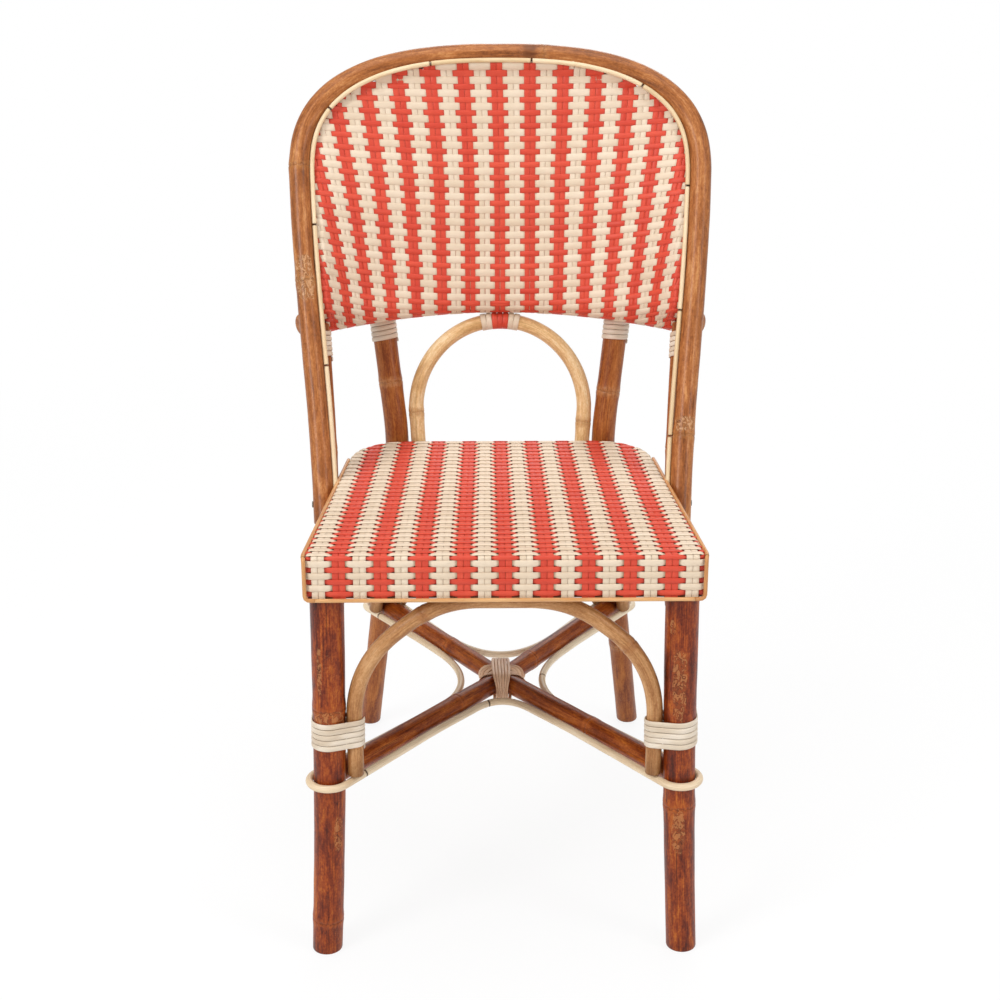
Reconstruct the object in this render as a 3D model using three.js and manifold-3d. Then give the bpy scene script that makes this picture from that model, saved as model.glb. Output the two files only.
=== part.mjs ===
// A rattan bistro chair, in millimetres. +X is its left side seen from the back, -Y its front, +Z up.
// Depths are measured backwards from the front face of the seat, heights from the floor.
import * as THREE from "three";
import { mergeVertices } from "three/addons/utils/BufferGeometryUtils.js";
import Module from "manifold-3d";

const wasm = await Module();
wasm.setup();

// Fits
const clearance = 0.3; // between pieces that touch
const overrun = 6; // how far a cutter passes what it cuts

// Seat
const seatTopHeight = 454;
const seatThickness = 46;
const seatFrontWidth = 393;
const seatRearWidth = 331;
const seatDepth = 367;
const seatFrontCorner = 9;
const seatRearCorner = 62;
const seatWeaveThickness = 4.5;
const seatRailWidth = 28;
const seatRailHeight = 40;
const pipingRadius = 2.1;

// Front legs
const frontLegFootX = 188;
const frontLegTopX = 175.5;
const frontLegDepth = 18.8;
const frontLegTopRadius = 17;
const frontLegFootRadius = 15.7;
const frontLegNodeSwell = 0.8;
const frontLegNodeShares = [0.085, 0.44, 0.72];
const nodeHalfLength = 9;
const tenonRadius = 9;
const tenonHeight = 30;

// Lower back rail, bowed backwards behind the woven panel
const railRadius = 12.5;
const railRise = 156; // above the seat, at its middle
const railOverhang = 3.2; // past the hoop's legs
const railMiddleHeight = seatTopHeight + railRise;
const railDrop = 5;
const railMiddleDepth = 410;

// Rear legs
const rearLegRadius = 13.5;
const rearLegFootX = 173.6;
const rearLegFootDepth = 546;
const rearLegBendX = 118.5;
const rearLegBendDrop = 12; // below the seat's top
const rearLegBendHeight = seatTopHeight - rearLegBendDrop;
const rearLegBendCut = 42;
const rearLegBendSink = 4.7; // how far the rounding of the bend draws it forwards
const rearLegTopX = 138;
const rearLegTopRise = 14; // above the middle of the lower back rail
const rearLegTopHeight = railMiddleHeight + rearLegTopRise;

// Outer back hoop, a leaning pole with a squared-off round crown
const hoopRadius = 12;
const hoopFootDrop = 44; // below the seat's top
const hoopFootHeight = seatTopHeight - hoopFootDrop;
const hoopFootDepth = 204;
const hoopStandoff = 1.9; // between the seat's sides and the hoop's legs
const hoopSpread = 29.5; // from the hoop's feet to its widest place, on either side
const hoopFootX = seatHalfWidthAt(hoopFootDepth) + hoopStandoff + hoopRadius;
const hoopWidestX = hoopFootX + hoopSpread;
const hoopRise = 475;
const hoopWidestShare = 0.747;
const hoopCrownHeight = hoopFootHeight + hoopRise;
const hoopWidestHeight = hoopFootHeight + hoopRise * hoopWidestShare;
const hoopLean = THREE.MathUtils.degToRad(25.2);
const hoopCrownPower = 2.6;

// Inner frame that the back is woven on, standing on the lower rail inside the hoop
const frameRadius = 7;
const frameInset = 14;

// Short posts behind the hoop's legs, from the seat to the lower rail
const postRadius = 8.5;
const postInset = 6;
const postFootDrop = 41; // below the seat's top
const postFootHeight = seatTopHeight - postFootDrop;

// Woven back panel
const panelThickness = 4;
const panelPlay = 1;
const panelDrop = 15; // its lower edge below the middle of the rail
const panelBottomHeight = railMiddleHeight - panelDrop;
const panelCornerPower = 8;
const crownTopShare = 1 / 4;

// Bead along the hoop's inner edge
const beadRadius = 2.6;
const beadPlay = 1.1; // between the hoop and its bead
const beadCrownTurn = THREE.MathUtils.degToRad(45); // round the hoop towards its front, at the crown
const beadJointGap = 1.2;
const beadJointShares = [0.045, 0.156, 0.267, 0.371, 0.472, 0.561, 0.66, 0.767, 0.892]; // from the right foot

// Arch between the seat and the back
const backArchRadius = 8.5;
const backArchHalfWidth = 98;
const backArchFootX = 93.5;
const backArchFootDrop = 42; // below the seat's top
const backArchFootHeight = seatTopHeight - backArchFootDrop;
const tabWidth = 44;
const tabThickness = 2;
const tabPlay = 1.1;

// Arches under the seat
const archRadius = 8.3;
const archFootHeight = 206;
const frontArchHalfWidth = 152;
const frontArchBarHalf = 64;
const frontArchLimbShare = 0.641;
const frontArchBendShare = 0.31;
const sideArchBarInset = 88;
const rearArchBarHalf = 48;
const limbTurn = THREE.MathUtils.degToRad(20);
const archBendShare = 0.207;
const limbCutShare = 0.7;
const limbShare = 0.538;
const archRise = seatTopHeight - seatThickness - clearance - archRadius - archFootHeight;
const archBendCut = archRise * archBendShare;
const limbBendCut = archBendCut * limbCutShare;
const limbStraight = archRise * limbShare;
const frontArchBendCut = archRise * frontArchBendShare;

// Crossed braces, two poles bent towards each other and lashed where they meet
const braceRadius = 11.1;
const braceHeight = 204;
const braceMeetingDepth = 246;

// Thin rod that runs along both sides of each brace arm and round the legs
const rodRadius = 4.2;
const rodHeight = 197;
const rodFrontPlay = 4.6; // between the strap and the rod before it
const rodSideReach = 47; // from the middle of the chair to the rod's bends at the sides
const rodRearReach = 79; // from the place where the braces meet to the bend at the rear
const rodJointShares = [0.082, 0.155, 0.445, 0.827]; // of the rod's way round the legs
const rodJointGap = 1.6;
const rodStraightStep = 30;

// Cane windings
const bindingPitch = 6.1;
const bindingThickness = 1.6;
const bindingGap = 0.5;
const bindingTurns = 5;
const legBindingHeight = archFootHeight + limbStraight - archBendCut - bindingTurns * bindingPitch;
const legTopBindingDrop = 17; // its top below the middle of the lower back rail
const legTopBindingTop = railMiddleHeight - legTopBindingDrop;
const topBindingPitch = 5.7;
const postBindingDrop = 16; // its top below the middle of the lower back rail
const postBindingTop = railMiddleHeight - postBindingDrop;
const windingSteps = 10;
const lashingPitch = 4.4;
const lashingThickness = 1.4;
const strapTurns = 4;
const bandTurns = 6;

// Screws that hold the hoop to the seat
const screwRadius = 2;
const screwHeadRadius = 3.6;
const screwHeadThickness = 1.6;
const screwBite = 18;
const screwDrop = 24; // below the seat's top
const screwHeight = seatTopHeight - screwDrop;

// Facets
const poleSides = 12;
const rodSides = 6;
const ribbonSides = 6;
const railSteps = 12;
const hoopSteps = 40;
const frameSteps = 32;
const beadSteps = 76;
const backArchSteps = 26;
const postSteps = 6;
const postSag = 1 - Math.cos(Math.PI / windingSteps);

const materials = {
  darkPole: new THREE.MeshStandardMaterial({ color: 0x7a3b1d, roughness: 0.35, metalness: 0 }),
  hoopPole: new THREE.MeshStandardMaterial({ color: 0x9c6238, roughness: 0.35, metalness: 0 }),
  lightPole: new THREE.MeshStandardMaterial({ color: 0xd3ab6c, roughness: 0.45, metalness: 0 }),
  paleCane: new THREE.MeshStandardMaterial({ color: 0xe8d3a4, roughness: 0.5, metalness: 0 }),
  piping: new THREE.MeshStandardMaterial({ color: 0xd89c58, roughness: 0.4, metalness: 0 }),
  weave: new THREE.MeshStandardMaterial({ color: 0xe08a70, roughness: 0.5, metalness: 0 }),
  cream: new THREE.MeshStandardMaterial({ color: 0xe6d6bf, roughness: 0.5, metalness: 0 }),
  strap: new THREE.MeshStandardMaterial({ color: 0xc8a98c, roughness: 0.6, metalness: 0 }),
  rail: new THREE.MeshStandardMaterial({ color: 0xc9a77a, roughness: 0.7, metalness: 0 }),
  steel: new THREE.MeshStandardMaterial({ color: 0x6d6a66, roughness: 0.4, metalness: 1 }),
};

const chair = new THREE.Group();
const body = new THREE.Group();
chair.add(body);

function add(name, shape, material) {
  const geometry = shape.isBufferGeometry ? shape : geometryOf(shape);
  const mesh = new THREE.Mesh(geometry, material);
  mesh.name = name;
  body.add(mesh);
  return mesh;
}

// Solids for joins and cuts
function solidOf(geometry) {
  const bare = geometry.clone();
  bare.deleteAttribute("normal");
  bare.deleteAttribute("uv");
  const merged = mergeVertices(bare, 1e-4);
  return new wasm.Manifold(
    new wasm.Mesh({
      numProp: 3,
      vertProperties: new Float32Array(merged.attributes.position.array),
      triVerts: new Uint32Array(merged.index.array),
    }),
  );
}

function geometryOf(solid) {
  const mesh = solid.getMesh();
  const geometry = new THREE.BufferGeometry();
  geometry.setAttribute("position", new THREE.BufferAttribute(mesh.vertProperties, 3));
  geometry.setIndex(new THREE.BufferAttribute(mesh.triVerts, 1));
  geometry.computeVertexNormals();
  return geometry;
}

function largestBody(solid) {
  return solid.decompose().reduce((a, b) => (a.volume() > b.volume() ? a : b));
}

function boxSolid(low, high) {
  const size = new THREE.Vector3().subVectors(high, low);
  const middle = new THREE.Vector3().addVectors(low, high).multiplyScalar(1 / 2);
  const box = new THREE.BoxGeometry(size.x, size.y, size.z);
  return solidOf(box.translate(middle.x, middle.y, middle.z));
}

// Keeps what stands above the floor.
function aboveFloor(solid) {
  const reach = seatFrontWidth + seatDepth + rearLegFootDepth;
  return solid.subtract(
    boxSolid(new THREE.Vector3(-reach, -reach, -reach), new THREE.Vector3(reach, reach, 0)),
  );
}

function circleShape(radius, sides) {
  const shape = new THREE.Shape();
  for (let i = 0; i < sides; i++) {
    const angle = ((i + 1 / 2) / sides) * 2 * Math.PI;
    const x = radius * Math.cos(angle);
    const y = radius * Math.sin(angle);
    if (i === 0) shape.moveTo(x, y);
    else shape.lineTo(x, y);
  }
  shape.closePath();
  return shape;
}

function tube(curve, radius, steps, sides = poleSides) {
  return new THREE.ExtrudeGeometry(circleShape(radius, sides), { steps, extrudePath: curve });
}

// A straight-run path whose corners are rounded off, starting the curve the given length before each corner.
function roundedPath(points, cuts) {
  const path = new THREE.CurvePath();
  let start = points[0];
  for (let i = 1; i < points.length - 1; i++) {
    const corner = points[i];
    const before = new THREE.Vector3().subVectors(points[i - 1], corner).setLength(cuts[i - 1]).add(corner);
    const after = new THREE.Vector3().subVectors(points[i + 1], corner).setLength(cuts[i - 1]).add(corner);
    path.add(new THREE.LineCurve3(start, before));
    path.add(new THREE.QuadraticBezierCurve3(before, corner, after));
    start = after;
  }
  path.add(new THREE.LineCurve3(start, points[points.length - 1]));
  return path;
}

// Points of a path, closer together where it bends.
function smoothPoints(path, straightSteps, bendSteps) {
  const points = [path.curves[0].getPoint(0)];
  for (const piece of path.curves) {
    const count = piece.isLineCurve3 ? straightSteps : bendSteps;
    for (let i = 1; i <= count; i++) points.push(piece.getPoint(i / count));
  }
  return points;
}

class PointPath extends THREE.Curve {
  constructor(points) {
    super();
    this.points = points;
  }
  getPoint(share, target = new THREE.Vector3()) {
    const last = this.points.length - 1;
    const place = Math.min(share * last, last - 1e-9);
    const index = Math.floor(place);
    return target.lerpVectors(this.points[index], this.points[index + 1], place - index);
  }
  getPointAt(share, target) {
    return this.getPoint(share, target);
  }
  getTangentAt(share, target = new THREE.Vector3()) {
    const last = this.points.length - 1;
    const index = Math.round(share * last);
    const before = this.points[Math.max(index - 1, 0)];
    const after = this.points[Math.min(index + 1, last)];
    return target.subVectors(after, before).normalize();
  }
  getSpacedPoints() {
    return this.points.map((point) => point.clone());
  }
}

function poleAlong(points, radius, sides = poleSides) {
  return tube(new PointPath(points), radius, points.length - 1, sides);
}

// Seat outline, drawn in by an inset all round
function seatOutline(inset) {
  const taper = (seatFrontWidth - seatRearWidth) / 2;
  const skew = Math.hypot(seatDepth, taper) / seatDepth;
  const share = inset / seatDepth;
  const front = seatFrontWidth / 2 - taper * share - inset * skew;
  const rear = seatRearWidth / 2 + taper * share - inset * skew;
  const corners = [
    new THREE.Vector2(-front, inset),
    new THREE.Vector2(front, inset),
    new THREE.Vector2(rear, seatDepth - inset),
    new THREE.Vector2(-rear, seatDepth - inset),
  ];
  const rounds = [seatFrontCorner, seatFrontCorner, seatRearCorner, seatRearCorner];
  const shape = new THREE.Shape();
  corners.forEach((corner, i) => {
    const cut = Math.max(rounds[i] - inset, clearance);
    const before = corners[(i + 3) % 4].clone().sub(corner).setLength(cut).add(corner);
    const after = corners[(i + 1) % 4].clone().sub(corner).setLength(cut).add(corner);
    if (i === 0) shape.moveTo(before.x, before.y);
    else shape.lineTo(before.x, before.y);
    shape.quadraticCurveTo(corner.x, corner.y, after.x, after.y);
  });
  shape.closePath();
  return shape;
}

// Half width of the seat at a depth, along its straight sides
function seatHalfWidthAt(depth) {
  return THREE.MathUtils.lerp(seatFrontWidth, seatRearWidth, depth / seatDepth) / 2;
}

function seatPrism(inset, low, high) {
  const prism = new THREE.ExtrudeGeometry(seatOutline(inset), {
    depth: high - low,
    bevelEnabled: false,
    curveSegments: 6,
  });
  return solidOf(prism.translate(0, 0, low));
}

const seatBottomHeight = seatTopHeight - seatThickness;
const seatRailTop = seatTopHeight - seatWeaveThickness - clearance;
const seatRailBottom = seatRailTop - seatRailHeight;

// Legs at a height
function frontLegAt(side, height) {
  const share = height / seatBottomHeight;
  return new THREE.Vector3(
    side * THREE.MathUtils.lerp(frontLegFootX, frontLegTopX, share), frontLegDepth, height);
}

function frontLegRadiusAt(height) {
  return THREE.MathUtils.lerp(frontLegFootRadius, frontLegTopRadius, height / seatBottomHeight);
}

const rearLegBendDepth = seatDepth + clearance + rearLegRadius - rearLegBendSink;

function rearLegAt(side, height) {
  const share = height / rearLegBendHeight;
  return new THREE.Vector3(
    side * THREE.MathUtils.lerp(rearLegFootX, rearLegBendX, share),
    THREE.MathUtils.lerp(rearLegFootDepth, rearLegBendDepth, share),
    height,
  );
}

// A point of the hoop's leaning plane: across, height, and how far behind the plane
function hoopPlanePoint(across, height, behind) {
  const depth = hoopFootDepth + (height - hoopFootHeight) * Math.tan(hoopLean);
  return new THREE.Vector3(
    across,
    depth + behind * Math.cos(hoopLean),
    height - behind * Math.sin(hoopLean),
  );
}

// Half width inside the hoop's line, drawn in by an inset, at a height
function hoopHalfAt(inset, height) {
  const widest = hoopWidestX - inset;
  if (height <= hoopWidestHeight) return hoopSideAt(height, hoopFootX - inset, widest);
  const up = (height - hoopWidestHeight) / (hoopCrownHeight - hoopWidestHeight - inset);
  return widest * Math.max(1 - up ** hoopCrownPower, 0) ** (1 / hoopCrownPower);
}

// Half width of the hoop's line below its widest place
function hoopSideAt(height, footX, widestX) {
  const share = (height - hoopFootHeight) / (hoopWidestHeight - hoopFootHeight);
  const ease = (share + (1 - Math.cos(Math.PI * share)) / 2) / 2;
  return THREE.MathUtils.lerp(footX, widestX, ease);
}

// The line of the hoop drawn in by an inset, from the right foot over the crown to the left foot, as
// pairs of across and height
function hoopLine(inset, footHeight, legSteps, crownSteps, footInset = inset) {
  const widest = hoopWidestX - inset;
  const crown = hoopCrownHeight - hoopWidestHeight - inset;
  const half = [];
  for (let i = 0; i < legSteps; i++) {
    const height = THREE.MathUtils.lerp(footHeight, hoopWidestHeight, i / legSteps);
    half.push([hoopSideAt(height, hoopFootX - footInset, widest), height]);
  }
  for (let i = 0; i <= crownSteps; i++) {
    const angle = (i / crownSteps) * (Math.PI / 2);
    const across = widest * Math.cos(angle) ** (2 / hoopCrownPower);
    const up = crown * Math.sin(angle) ** (2 / hoopCrownPower);
    half.push([across, hoopWidestHeight + up]);
  }
  const other = half.slice(0, -1).reverse().map(([across, height]) => [-across, height]);
  return half.concat(other);
}

// Evens out the spacing of points along a line.
function evenPoints(points, count) {
  const curve = new THREE.CatmullRomCurve3(points, false, "centripetal");
  return curve.getSpacedPoints(count);
}

// Front legs with their tenons
function makeFrontLegs() {
  const slope = (frontLegFootX - frontLegTopX) / seatBottomHeight;
  for (const [name, side] of [["front_leg_right", 1], ["front_leg_left", -1]]) {
    const foot = frontLegAt(side, 0);
    const top = frontLegAt(side, seatBottomHeight - clearance - frontLegTopRadius * slope);
    const axis = new THREE.Vector3().subVectors(top, foot);
    const length = axis.length();
    const radiusAt = (along) =>
      THREE.MathUtils.lerp(frontLegFootRadius, frontLegTopRadius, along / length);
    const profile = [new THREE.Vector2(0, -overrun), new THREE.Vector2(radiusAt(0), -overrun)];
    for (const share of frontLegNodeShares) {
      const along = share * length;
      profile.push(new THREE.Vector2(radiusAt(along), along - nodeHalfLength));
      profile.push(new THREE.Vector2(radiusAt(along) + frontLegNodeSwell, along));
      profile.push(new THREE.Vector2(radiusAt(along), along + nodeHalfLength));
    }
    profile.push(new THREE.Vector2(radiusAt(length), length));
    profile.push(new THREE.Vector2(tenonRadius, length));
    profile.push(new THREE.Vector2(tenonRadius, length + tenonHeight));
    profile.push(new THREE.Vector2(0, length + tenonHeight));
    const leg = new THREE.LatheGeometry(profile, poleSides);
    placeAlong(leg, foot, axis);
    add(name, aboveFloor(solidOf(leg)), materials.darkPole);
  }
}

// Turns a shape made along +Y to stand on a point along an axis.
function placeAlong(geometry, base, axis) {
  const turn = new THREE.Quaternion().setFromUnitVectors(
    new THREE.Vector3(0, 1, 0), axis.clone().normalize());
  geometry.applyQuaternion(turn);
  geometry.translate(base.x, base.y, base.z);
  return geometry;
}

function rod(from, to, radius, sides = poleSides) {
  const axis = new THREE.Vector3().subVectors(to, from);
  const cylinder = new THREE.CylinderGeometry(radius, radius, axis.length(), sides);
  cylinder.translate(0, axis.length() / 2, 0);
  return solidOf(placeAlong(cylinder, from, axis));
}

const railReach =
  hoopSideAt(railMiddleHeight - railDrop, hoopFootX, hoopWidestX) + hoopRadius + railOverhang;

// Lower back rail's line at a place across
function railPoint(across) {
  const share = across / railReach;
  const depth = railMiddleDepth - (railMiddleDepth - railEndDepth) * share * share;
  return new THREE.Vector3(across, depth, railMiddleHeight - railDrop * share * share);
}

const frameReach = hoopRadius + frameRadius + 2 * clearance;
const frameSetback = Math.sqrt(frameReach * frameReach - frameInset * frameInset);
const railEndDepth = hoopPlanePoint(0, railMiddleHeight - railDrop, 0).y +
  (hoopRadius + railRadius + clearance) / Math.cos(hoopLean);

// The upper part of a rear leg rests against the back of the lower rail.
function rearLegRest(side) {
  const slope = (2 * (railMiddleDepth - railEndDepth) * rearLegTopX) / railReach ** 2;
  const setback = (railRadius + 2 * clearance + rearLegRadius) * Math.hypot(1, slope);
  return railPoint(side * rearLegTopX).add(new THREE.Vector3(0, setback, 0));
}

function makeRearLegs() {
  for (const [name, side] of [["rear_leg_right", 1], ["rear_leg_left", -1]]) {
    const foot = rearLegAt(side, -overrun);
    const bend = rearLegAt(side, rearLegBendHeight);
    const rest = rearLegRest(side);
    const top = bend.clone().lerp(rest, (rearLegTopHeight - bend.z) / (rest.z - bend.z));
    const path = roundedPath([foot, bend, top], [rearLegBendCut]);
    const leg = poleAlong(smoothPoints(path, 1, 5), rearLegRadius);
    add(name, aboveFloor(solidOf(leg)), materials.darkPole);
  }
}

// Screw positions through the hoop's legs into the side rails
function screwLine(side) {
  const middle = hoopPlanePoint(
    side * hoopSideAt(screwHeight, hoopFootX, hoopWidestX), screwHeight, 0);
  const outside = middle.clone().add(new THREE.Vector3(side * hoopRadius, 0, 0));
  const inside = new THREE.Vector3(
    side * (seatHalfWidthAt(middle.y) - seatWeaveThickness - screwBite), middle.y, screwHeight);
  return { outside, inside };
}

function screwBore(side) {
  const { outside, inside } = screwLine(side);
  const out = new THREE.Vector3(side, 0, 0);
  const shank = rod(
    inside.clone().addScaledVector(out, -clearance),
    outside.clone().addScaledVector(out, overrun),
    screwRadius + clearance,
    poleSides,
  );
  const head = rod(
    outside.clone().addScaledVector(out, -screwHeadThickness - clearance),
    outside.clone().addScaledVector(out, overrun),
    screwHeadRadius + clearance,
    poleSides,
  );
  return shank.add(head);
}

function makeScrews() {
  for (const [name, side] of [["hoop_screw_right", 1], ["hoop_screw_left", -1]]) {
    const { outside, inside } = screwLine(side);
    const under = outside.clone().add(new THREE.Vector3(-side * screwHeadThickness, 0, 0));
    const shank = rod(inside, outside, screwRadius, rodSides + 2);
    add(name, shank.add(rod(under, outside, screwHeadRadius, rodSides + 2)), materials.steel);
  }
}

function boreForScrews(solid) {
  return solid.subtract(screwBore(1)).subtract(screwBore(-1));
}

// Outer hoop, inner frame and the bead between them
function makeHoop() {
  const line = hoopLine(0, hoopFootHeight, 6, 10);
  const points = evenPoints(line.map(([x, z]) => hoopPlanePoint(x, z, 0)), hoopSteps);
  const hoop = solidOf(poleAlong(points, hoopRadius));
  add("back_hoop", boreForScrews(hoop), materials.hoopPole);
}

// The lower rail's line, as a pole that is larger by a play
function railPole(play, steps) {
  const points = [];
  const reach = railReach + play;
  for (let i = 0; i <= steps; i++) {
    points.push(railPoint(THREE.MathUtils.lerp(-reach, reach, i / steps)));
  }
  return poleAlong(points, railRadius + play);
}

function makeInnerFrame() {
  const foot = railMiddleHeight + frameSetback * Math.sin(hoopLean) + frameRadius;
  const line = hoopLine(frameInset, foot, 3, 9);
  const points = evenPoints(line.map(([x, z]) => hoopPlanePoint(x, z, frameSetback)), frameSteps);
  const pole = solidOf(poleAlong(points, frameRadius, poleSides - 2));
  add("inner_back_frame", pole.subtract(solidOf(railPole(clearance, railSteps))), materials.hoopPole);
}

const postSetback =
  hoopRadius + postRadius + bindingThickness + clearance * 2 + postRadius * postSag;

function postPoint(side, height) {
  const across = hoopSideAt(height, hoopFootX, hoopWidestX) - postInset;
  return hoopPlanePoint(side * across, height, postSetback);
}

function makePosts() {
  const foot = postFootHeight + postSetback * Math.sin(hoopLean);
  for (const [name, side] of [["side_post_right", 1], ["side_post_left", -1]]) {
    const points = [];
    for (let i = 0; i <= postSteps; i++) {
      points.push(postPoint(side, THREE.MathUtils.lerp(foot, railMiddleHeight, i / postSteps)));
    }
    const post = solidOf(poleAlong(points, postRadius, poleSides - 2));
    const cut = post.subtract(solidOf(railPole(clearance, railSteps)));
    add(name, largestBody(cut), materials.darkPole);
  }
}

// The beads' line runs along the inner side of the hoop and turns towards its front at the crown.
function beadLine() {
  const front = panelThickness / 2 + clearance + beadRadius - panelEdgeSetback;
  const reach = hoopRadius + beadRadius + beadPlay;
  const sideTurn = Math.asin(front / reach);
  const line = hoopLine(0, seatTopHeight + overrun, 6, 10);
  const hoop = new THREE.CatmullRomCurve3(
    line.map(([x, z]) => hoopPlanePoint(x, z, 0)), false, "centripetal");
  const forward = new THREE.Vector3(0, -Math.cos(hoopLean), Math.sin(hoopLean));
  const points = [];
  for (let i = 0; i <= hoopSteps; i++) {
    const point = hoop.getPointAt(i / hoopSteps);
    const inward = hoop.getTangentAt(i / hoopSteps).cross(forward).negate();
    const up = (point.z - hoopWidestHeight) / (hoopCrownHeight - hoopWidestHeight);
    const turn = THREE.MathUtils.lerp(sideTurn, beadCrownTurn, THREE.MathUtils.clamp(up, 0, 1) ** 2);
    points.push(point.addScaledVector(inward, reach * Math.cos(turn))
      .addScaledVector(forward, reach * Math.sin(turn)));
  }
  return new THREE.CatmullRomCurve3(points, false, "centripetal");
}

function makeBeads() {
  const curve = beadLine();
  const gap = beadJointGap / 2 / curve.getLength();
  const ends = [0, ...beadJointShares, 1];
  for (let i = 1; i < ends.length; i++) {
    const from = ends[i - 1] + gap;
    const to = ends[i] - gap;
    const steps = Math.max(Math.round((to - from) * beadSteps), 4);
    const points = [];
    for (let k = 0; k <= steps; k++) {
      points.push(curve.getPointAt(THREE.MathUtils.lerp(from, to, k / steps)));
    }
    add("bead_" + i, poleAlong(points, beadRadius, rodSides), materials.paleCane);
  }
}

// Woven back: a bowed sheet, cut to the inside of the inner frame
function panelSetback(across, height) {
  const whole = frameInnerTop - panelRestHeight;
  const left = THREE.MathUtils.clamp((frameInnerTop - height) / whole, 0, 1);
  const inside = Math.max(hoopHalfAt(frameInnerInset, height), panelPlay);
  const out = Math.min(Math.abs(across) / inside, 1);
  const bow = (railMiddleDepth - railEndDepth) * Math.cos(hoopLean) * (inside / railReach) ** 2;
  const bowShare = bow / (panelMiddleSetback - panelEdgeSetback);
  const power = THREE.MathUtils.lerp(2, panelCornerPower, left * left);
  const fall = bowShare * out ** 2 + (1 - bowShare) * out ** power;
  return THREE.MathUtils.lerp(panelEdgeSetback, panelMiddleSetback, left * (1 - fall));
}

const panelInset = hoopRadius + panelPlay;
const frameInnerInset = frameInset + frameRadius + panelPlay;
const frameInnerTop = hoopCrownHeight - frameInnerInset;
const panelEdgeSetback = frameSetback - frameRadius - clearance - panelPlay - panelThickness / 2;
const panelRestDepth = railMiddleDepth - railRadius - panelPlay - panelThickness / 2;
const panelMiddleSetback =
  (panelRestDepth - hoopPlanePoint(0, railMiddleHeight, 0).y) * Math.cos(hoopLean);
const panelRestHeight = railMiddleHeight + panelMiddleSetback * Math.sin(hoopLean);

function makeBackWeave() {
  const halfSteps = 6;
  const low = panelBottomHeight - overrun * 4;
  const heights = [];
  const legSteps = 4;
  const crownSteps = 6;
  for (let i = 0; i < legSteps; i++) {
    heights.push(THREE.MathUtils.lerp(low, hoopWidestHeight, i / legSteps));
  }
  for (let i = 0; i <= crownSteps; i++) {
    const angle = (Math.min(i, crownSteps - crownTopShare) / crownSteps) * (Math.PI / 2);
    const crown = hoopCrownHeight - hoopWidestHeight - panelInset;
    heights.push(hoopWidestHeight + crown * Math.sin(angle) ** (2 / hoopCrownPower));
  }
  const rows = heights.length - 1;
  const slab = new THREE.BoxGeometry(2 * halfSteps, rows, panelThickness, 2 * halfSteps, rows, 1);
  const place = slab.attributes.position;
  for (let i = 0; i < place.count; i++) {
    const height = heights[Math.round(place.getY(i) + rows / 2)];
    const column = place.getX(i);
    const outer = hoopHalfAt(panelInset, height);
    const inner = Math.max(hoopHalfAt(frameInnerInset, height), outer / 2);
    const inside = (column / (halfSteps - 1)) * inner;
    const across = Math.abs(column) > halfSteps - 1 / 2 ? Math.sign(column) * outer : inside;
    const point = hoopPlanePoint(across, height, panelSetback(across, height) - place.getZ(i));
    place.setXYZ(i, point.x, point.y, point.z);
  }
  const far = hoopWidestX * 2 + rearLegFootDepth;
  const under = boxSolid(
    new THREE.Vector3(-far, -far, -far), new THREE.Vector3(far, far, panelBottomHeight));
  add("back_weave", solidOf(slab).subtract(under), materials.weave);
}

function makeLowerRail() {
  add("lower_back_rail", railPole(0, railSteps), materials.hoopPole);
}

// Arch that carries the lower back rail on the seat, and the woven tab round its top
function backArchPoints(from, to, steps) {
  const topHeight = railMiddleHeight - railRadius - tabThickness - tabPlay - clearance - backArchRadius;
  const springHeight = topHeight - backArchHalfWidth;
  const footDepth = seatDepth + clearance + backArchRadius;
  const depthAt = (height) => THREE.MathUtils.lerp(
    footDepth, railMiddleDepth, Math.max(height - seatTopHeight, 0) / (topHeight - seatTopHeight));
  const foot = new THREE.Vector3(backArchFootX, depthAt(backArchFootHeight), backArchFootHeight);
  const half = [foot];
  const crownSteps = 9;
  for (let i = 0; i <= crownSteps; i++) {
    const angle = (i / crownSteps) * (Math.PI / 2);
    const height = springHeight + backArchHalfWidth * Math.sin(angle);
    half.push(new THREE.Vector3(backArchHalfWidth * Math.cos(angle), depthAt(height), height));
  }
  const other = half.slice(0, -1).reverse().map((point) => (
    new THREE.Vector3(-point.x, point.y, point.z)));
  const curve = new THREE.CatmullRomCurve3(half.concat(other), false, "centripetal");
  const points = [];
  for (let i = 0; i <= steps; i++) {
    points.push(curve.getPointAt(THREE.MathUtils.lerp(from, to, i / steps)));
  }
  return { points, length: curve.getLength() };
}

function makeBackArch() {
  const line = backArchPoints(0, 1, backArchSteps).points;
  add("back_arch", poleAlong(line, backArchRadius), materials.lightPole);
  const { length } = backArchPoints(0, 1, 1);
  const half = tabWidth / 2 / length;
  const beyond = (tabWidth / 2 + overrun) / length;
  const within = backArchRadius + tabPlay;
  const outer = poleAlong(
    backArchPoints(1 / 2 - half, 1 / 2 + half, 4).points, within + tabThickness);
  const inner = poleAlong(backArchPoints(1 / 2 - beyond, 1 / 2 + beyond, 6).points, within);
  add("back_arch_tab", solidOf(outer).subtract(solidOf(inner)), materials.weave);
}

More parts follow.
